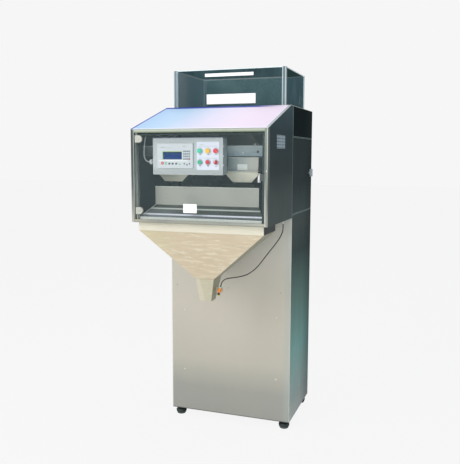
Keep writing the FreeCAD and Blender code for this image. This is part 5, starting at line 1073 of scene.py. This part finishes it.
def add_face_trim():
    """Raised lip of the controller, its bright rule, and faint printed lines."""
    lip = bar("controller_lip", (-0.2290, -0.4262, 1.4510), (-0.0390, -0.4205, 1.5700))
    choose_faces(lip, lambda middle, normal: abs(normal.y) > 0.5)
    bpy.ops.mesh.inset(thickness=0.0028, depth=0)
    bpy.ops.mesh.bridge_edge_loops()
    bpy.ops.object.mode_set(mode="OBJECT")
    soften(lip, 0.0008, 2)
    fit_out(lip, case_cream)
    rule = bar("controller_rule", (-0.2200, -0.4274, 1.4838), (-0.0690, -0.4268, 1.4866))
    fit_out(soften(rule, 0.0002, 1), label_white)
    lines = []
    for i, (left, right, level, tall) in enumerate((
            (-0.2100, -0.1880, 1.5504, 0.0030), (-0.1850, -0.1500, 1.5470, 0.0014),
            (-0.0920, -0.0700, 1.5560, 0.0016), (-0.0920, -0.0760, 1.5525, 0.0014))):
        lines.append(soften(bar(f"face_line_{i}", (left, -0.4273, level - tall / 2),
                                (right, -0.4268, level + tall / 2)), 0.0001, 1))
    fit_out(joined("face_print", lines), print_faint)


def add_legend():
    """Pale plate behind the lamps and buttons, with a small dark tag under each."""
    plate = bar("legend_plate", (-0.0215, -0.4208, 1.4420), (0.0925, -0.4200, 1.5765))
    choose_edges(plate, lambda a, b: abs(a.y - b.y) > 0.0004)
    bpy.ops.mesh.bevel(offset=0.003, segments=4)
    plate = soften(plate, 0.0002, 1)
    take(plate)
    for level in (1.533, 1.479):
        for across in (-0.005, 0.036, 0.077):
            cutter = disc("plate_hole", (across, -0.4204, level), 0.0147, 0.004, "y", 40)
            opening = plate.modifiers.new("hole", "BOOLEAN")
            opening.object = cutter
            opening.operation = "DIFFERENCE"
            take(plate)
            bpy.ops.object.modifier_apply(modifier=opening.name)
            bpy.data.objects.remove(cutter)
    fit_out(plate, legend_lilac)
    tags = []
    for i, (across, level, wide, tall) in enumerate((
            (-0.0040, 1.5152, 0.0080, 0.0030), (0.0368, 1.5152, 0.0110, 0.0020),
            (0.0775, 1.5152, 0.0080, 0.0022), (-0.0048, 1.4615, 0.0070, 0.0044),
            (0.0364, 1.4615, 0.0080, 0.0044), (0.0772, 1.4585, 0.0100, 0.0020))):
        tags.append(soften(bar(f"tag_{i}", (across - wide / 2, -0.4212, level - tall / 2),
                               (across + wide / 2, -0.4207, level + tall / 2)), 0.0001, 1))
    fit_out(joined("legend_tags", tags), print_dark)
    lines = [soften(bar(f"legend_line_{i}", (left, -0.4211, level - 0.0008),
                        (right, -0.4207, level + 0.0008)), 0.0001, 1)
             for i, (left, right, level) in enumerate((
                 (-0.0060, 0.0190, 1.5640), (-0.0130, 0.0815, 1.5555),
                 (-0.0130, 0.0815, 1.4985)))]
    fit_out(joined("legend_print", lines), print_faint)


def add_pointer():
    """Pale pointer on the selector's handle."""
    pointer = bar("selector_pointer", (0.0758, -0.4378, 1.4790), (0.0782, -0.4368, 1.4875))
    choose_faces(pointer, lambda middle, normal: normal.y < -0.5)
    bpy.ops.mesh.inset(thickness=0.0004, depth=0.0002)
    fit_out(soften(pointer, 0.0002, 1), label_white, "selector")


add_display()
add_keypad()
add_face_trim()
add_legend()
add_pointer()


# Screws, labels and plates
def add_screw(name, place, radius, proud, along, slotted=True):
    """A pan-head screw with a round recess in its head when slotted; along is the way its head points."""
    axis = along[-1]
    sign = -1 if along.startswith("-") else 1
    spot = Vector(place)
    step = Vector([sign * proud / 2 if letter == axis else 0 for letter in "xyz"])
    head = disc(name, spot + step, radius, proud, axis, 24)
    outward = Vector([sign if letter == axis else 0 for letter in "xyz"])
    choose_faces(head, lambda middle, normal: normal.dot(outward) > 0.9)
    bpy.ops.mesh.inset(thickness=radius * 0.35, depth=proud * 0.25)
    if slotted:
        bpy.ops.mesh.inset(thickness=radius * 0.30, depth=-proud * 0.45)
    return soften(head, proud * 0.2, 2)


def add_screws():
    flank = [add_screw(f"flank_screw_{i}", (0.112, -0.4135, level), 0.0042, 0.0026, "+x")
             for i, level in enumerate((1.5545, 1.5085, 1.4655))]
    fit_out(joined("box_flank_screws", flank), label_white)
    deck = []
    for across in (-0.33, -0.11, 0.11, 0.33):
        deck.append(add_screw(f"deck_screw_{across:+.2f}".replace(".", "_").replace("+", "r")
                              .replace("-", "l"), (across, 0.440, 1.770), 0.0045, 0.0022, "+z"))
    fit_out(joined("deck_screws", deck), bolt_steel)


def add_peg():
    """White nylon peg on a wire eye at the right bucket's flap."""
    peg = disc("flap_peg", (0.2652, -0.3270, 1.4036), 0.0076, 0.0420, "z", 32)
    choose_faces(peg, lambda middle, normal: abs(normal.z) > 0.9)
    bpy.ops.mesh.inset(thickness=0.0028, depth=0.0016)
    bpy.ops.mesh.inset(thickness=0.0012, depth=-0.0014)
    fit_out(soften(peg, 0.0009, 2), nylon_white, "right_flap")
    let_go()
    bpy.ops.mesh.primitive_torus_add(
        location=(0.2642, -0.3270, 1.4290), rotation=(math.pi / 2, 0, 0.5),
        major_radius=0.0056, minor_radius=0.0012, major_segments=28, minor_segments=8)
    eye = named("peg_eye")
    choose_faces(eye, lambda middle, normal: middle.z > 1.4333)
    bpy.ops.transform.translate(value=(0, 0, 0.0014))
    bpy.ops.object.mode_set(mode="OBJECT")
    bpy.ops.object.shade_smooth_by_angle(angle=math.radians(60))
    fit_out(eye, bolt_steel, "right_flap")


def add_gland_nut():
    """Six-sided nut of the gland where the grey cable enters the control box."""
    nut = disc("box_gland_nut", (-0.2778, -0.390, 1.4790), 0.0140, 0.0116, "x", 6)
    choose_faces(nut, lambda middle, normal: normal.x < -0.9)
    bpy.ops.mesh.inset(thickness=0.0045)
    bpy.ops.transform.translate(value=(-0.0015, 0, 0))
    let_go()
    soften(nut, 0.0008)
    fit_out(nut, gland_pale)


def add_beam_fittings():
    """Standing stud, dark grommet and small dot screw on the front crossbeam."""
    stud = disc("beam_stud", (0.2480, -0.3440, 1.5580), 0.0030, 0.0240, "z", 20)
    nut = disc("beam_stud_nut", (0.2480, -0.3440, 1.5560), 0.0060, 0.0050, "z", 6)
    fit_out(joined("beam_studs", [soften(stud, 0.0006, 2), soften(nut, 0.0005, 1)]), screw_pale)
    grommet = disc("beam_grommet", (0.2645, -0.3515, 1.5290), 0.0060, 0.0030, "y", 28)
    choose_faces(grommet, lambda middle, normal: normal.y < -0.9)
    bpy.ops.mesh.inset(thickness=0.0020, depth=0.0004)
    bpy.ops.mesh.inset(thickness=0.0008, depth=-0.0016)
    fit_out(soften(grommet, 0.0005, 2), catch_black)
    fit_out(add_screw("beam_dot_screw", (0.1894, -0.3500, 1.5240), 0.0030, 0.0018, "-y"),
            screw_pale)


def hollowed(piece, back, wall, depth):
    """Turns a block into a tray by sinking the face that looks along back."""
    choose_faces(piece, lambda middle, normal: normal.dot(Vector(back)) > 0.9)
    bpy.ops.mesh.inset(thickness=wall, depth=0)
    bpy.ops.mesh.extrude_region_move(
        TRANSFORM_OT_translate={"value": [-depth * level for level in back]})
    return piece


def add_side_sheets():
    """Lower side sheet and service door, folded trays that meet 1.2 m above the floor."""
    sheet = bar("lower_side_sheet", (0.332, 0.002, 0.045), (0.350, 0.468, 1.1985))
    sheet = soften(hollowed(sheet, (-1, 0, 0), 0.002, 0.016), 0.0006, 2)
    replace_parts(fit_out(sheet, side_dark_reflection), "right_side_panel")
    door = bar("service_door", (0.336, 0.005, 1.2015), (0.350, 0.465, 1.608))
    door = hollowed(door, (-1, 0, 0), 0.002, 0.012)
    let_go()
    cutter = disc("spindle_hole", (0.349, 0.412, 1.413), 0.0062, 0.02, "x", 32)
    opening = door.modifiers.new("hole", "BOOLEAN")
    opening.object = cutter
    opening.operation = "DIFFERENCE"
    take(door)
    bpy.ops.object.modifier_apply(modifier=opening.name)
    bpy.data.objects.remove(cutter)
    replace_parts(fit_out(soften(door, 0.0006, 2), side_dark_reflection, "side_door"), "side_door")


def add_apron_wing(name, side):
    """The splash apron widens towards the front; one flared end of it with its lip."""
    near, far = sorted((side * 0.2742, side * 0.3180))
    wing = bar(name, (near, -0.4410, 1.2112), (far, -0.3570, 1.2126))
    choose_edges(wing, lambda a, b: min(a.y, b.y) > -0.36)
    bpy.ops.transform.translate(value=(0, 0, 0.0510))
    bpy.ops.transform.resize(value=(0.03, 1, 1), center_override=(side * 0.2742, -0.357, 1.263))
    bpy.ops.object.mode_set(mode="OBJECT")
    lip = bar(name + "_lip", (near, -0.4410, 1.1840), (far, -0.4396, 1.2124))
    choose_edges(lip, lambda a, b: abs(a.x - b.x) < 1e-5 and abs(a.y - b.y) < 1e-5
                 and abs(a.x) > 0.3)
    bpy.ops.mesh.bevel(offset=0.0006, segments=2)
    return joined(name, [soften(wing, 0.0004, 1), soften(lip, 0.0002, 1)])


def add_flap_apron(name, middle, body):
    """Folded front apron of a bucket's flap: straight at the top, narrowing to its tip."""
    apron = bar(name, (middle - 0.0820, -0.3372, 1.4180), (middle + 0.0820, -0.3330, 1.4320))
    choose_faces(apron, lambda middle_point, normal: normal.z < -0.9)
    bpy.ops.mesh.extrude_region_move(TRANSFORM_OT_translate={"value": (0, 0, -0.0365)})
    bpy.ops.transform.resize(value=(0.582, 1, 1), center_override=(middle, -0.335, 1.3815))
    bpy.ops.object.mode_set(mode="OBJECT")
    choose_edges(apron, lambda a, b: max(a.z, b.z) < 1.39 and min(a.y, b.y) > -0.334)
    bpy.ops.transform.translate(value=(0, 0.0600, 0))
    bpy.ops.object.mode_set(mode="OBJECT")
    choose_faces(apron, lambda spot, normal: normal.z < -0.9 or normal.y > 0.3)
    bpy.ops.mesh.delete(type="FACE")
    bpy.ops.object.mode_set(mode="OBJECT")
    fold = apron.modifiers.new("sheet", "SOLIDIFY")
    fold.thickness = 0.0012
    take(apron)
    bpy.ops.object.modifier_apply(modifier=fold.name)
    return fit_out(soften(apron, 0.0003, 2), bucket_sheet, body)


def add_label(name, low, high, finish, body="machine", depth_axis="y"):
    """A blank label with softly rounded corners."""
    label = bar(name, low, high)
    spot = "xyz".index(depth_axis)
    choose_edges(label, lambda a, b: abs(a[spot] - b[spot]) > 0.0002)
    bpy.ops.mesh.bevel(offset=0.0012, segments=3)
    return fit_out(soften(label, 0.0001, 1), finish, body)


add_screws()
add_peg()
add_beam_fittings()
add_gland_nut()
add_side_sheets()
fit_out(joined("splash_wings", [add_apron_wing("left_wing", -1), add_apron_wing("right_wing", 1)]),
        splash_satin)
add_flap_apron("right_flap_apron", 0.1815, "right_flap")
add_flap_apron("left_flap_apron", -0.1815, "left_flap")
fit_out(add_screw("catch_screw", (0.3425, -0.4700, 1.4400), 0.0034, 0.0020, "-y"), screw_pale)
fit_out(joined("clamp_screws", [
    add_screw(f"clamp_screw_{i}", (-0.3080, -0.4670, level), 0.0036, 0.0010, "-y")
    for i, level in enumerate((1.2395, 1.5905))]), bolt_steel, "front_door")
add_label("hopper_label_low", (-0.122, -0.0314, 1.7850), (0.153, -0.0302, 1.8370), label_white)
add_label("hopper_label_high", (-0.132, -0.0314, 1.9295), (0.141, -0.0302, 1.9465), label_white)
add_label("glass_sticker", (-0.0750, -0.4648, 1.2360), (-0.0050, -0.4640, 1.2790), label_white,
          "front_door")
add_label("bucket_label", (0.1568, -0.3362, 1.4400), (0.2075, -0.3350, 1.4700), label_soft)
add_label("head_nameplate", (0.350, -0.326, 1.545), (0.3512, -0.170, 1.611), plate_teal,
          depth_axis="x")


# Floor, backdrop and light
def add_stage():
    let_go()
    bpy.ops.mesh.primitive_plane_add(size=60, location=(0, 0, 0))
    floor = named("studio_floor")
    floor.name = "studio_floor"
    finish = bpy.data.materials.new("studio_floor_pale")
    finish.use_nodes = True
    tree = finish.node_tree
    tree.nodes.clear()
    output = tree.nodes.new("ShaderNodeOutputMaterial")
    diffuse = tree.nodes.new("ShaderNodeBsdfDiffuse")
    diffuse.inputs["Color"].default_value = (0.80, 0.80, 0.80, 1)
    glow = tree.nodes.new("ShaderNodeEmission")
    glow.inputs["Color"].default_value = tint(246, 246, 246)
    glow.inputs["Strength"].default_value = 1.02
    rays = tree.nodes.new("ShaderNodeLightPath")
    share = tree.nodes.new("ShaderNodeMath")
    share.operation = "MULTIPLY"
    share.inputs[1].default_value = 0.95
    blend = tree.nodes.new("ShaderNodeMixShader")
    tree.links.new(rays.outputs["Is Camera Ray"], share.inputs[0])
    tree.links.new(share.outputs[0], blend.inputs[0])
    tree.links.new(diffuse.outputs[0], blend.inputs[1])
    tree.links.new(glow.outputs[0], blend.inputs[2])
    tree.links.new(blend.outputs[0], output.inputs["Surface"])
    floor.data.materials.append(finish)


def add_world():
    world = bpy.data.worlds.new("studio")
    bpy.context.scene.world = world
    world.use_nodes = True
    tree = world.node_tree
    tree.nodes.clear()
    output = tree.nodes.new("ShaderNodeOutputWorld")
    soft = tree.nodes.new("ShaderNodeBackground")
    soft.inputs["Color"].default_value = (0.92, 0.96, 1.0, 1)
    soft.inputs["Strength"].default_value = 0.47
    seen = tree.nodes.new("ShaderNodeBackground")
    seen.inputs["Color"].default_value = tint(246, 246, 246)
    seen.inputs["Strength"].default_value = 1.0
    rays = tree.nodes.new("ShaderNodeLightPath")
    either = tree.nodes.new("ShaderNodeMath")
    either.operation = "MAXIMUM"
    through = tree.nodes.new("ShaderNodeMath")
    through.operation = "MAXIMUM"
    blend = tree.nodes.new("ShaderNodeMixShader")
    tree.links.new(rays.outputs["Is Camera Ray"], either.inputs[0])
    tree.links.new(rays.outputs["Is Glossy Ray"], either.inputs[1])
    tree.links.new(either.outputs[0], through.inputs[0])
    tree.links.new(rays.outputs["Is Transmission Ray"], through.inputs[1])
    tree.links.new(through.outputs[0], blend.inputs[0])
    tree.links.new(soft.outputs[0], blend.inputs[1])
    tree.links.new(seen.outputs[0], blend.inputs[2])
    tree.links.new(blend.outputs[0], output.inputs["Surface"])


def add_light(name, place, target, size, power, colour=(1, 1, 1)):
    let_go()
    aim = (Vector(target) - Vector(place)).to_track_quat("-Z", "Y").to_euler()
    bpy.ops.object.light_add(type="AREA", location=place, rotation=aim)
    lamp = bpy.context.object
    lamp.name = name
    lamp.data.shape = "SQUARE"
    lamp.data.size = size
    lamp.data.energy = power
    lamp.data.color = colour


add_stage()
add_world()
add_light("key_soft", (-2.2, -3.4, 3.4), (0, 0, 1.1), 2.6, 120, (1, 0.985, 0.96))
add_light("front_fill", (0.6, -4.2, 1.2), (0, 0, 0.9), 2.4, 38, (1, 0.99, 0.97))
add_light("low_fill", (0.7, -2.7, 0.12), (0.1, -0.3, 1.35), 1.2, 12, (1, 0.99, 0.96))
add_light("top_soft", (0.2, 0.2, 4.2), (0, 0, 1.6), 2.4, 40, (0.97, 0.98, 1))

scene = bpy.context.scene
scene.view_settings.view_transform = "Standard"
let_go()
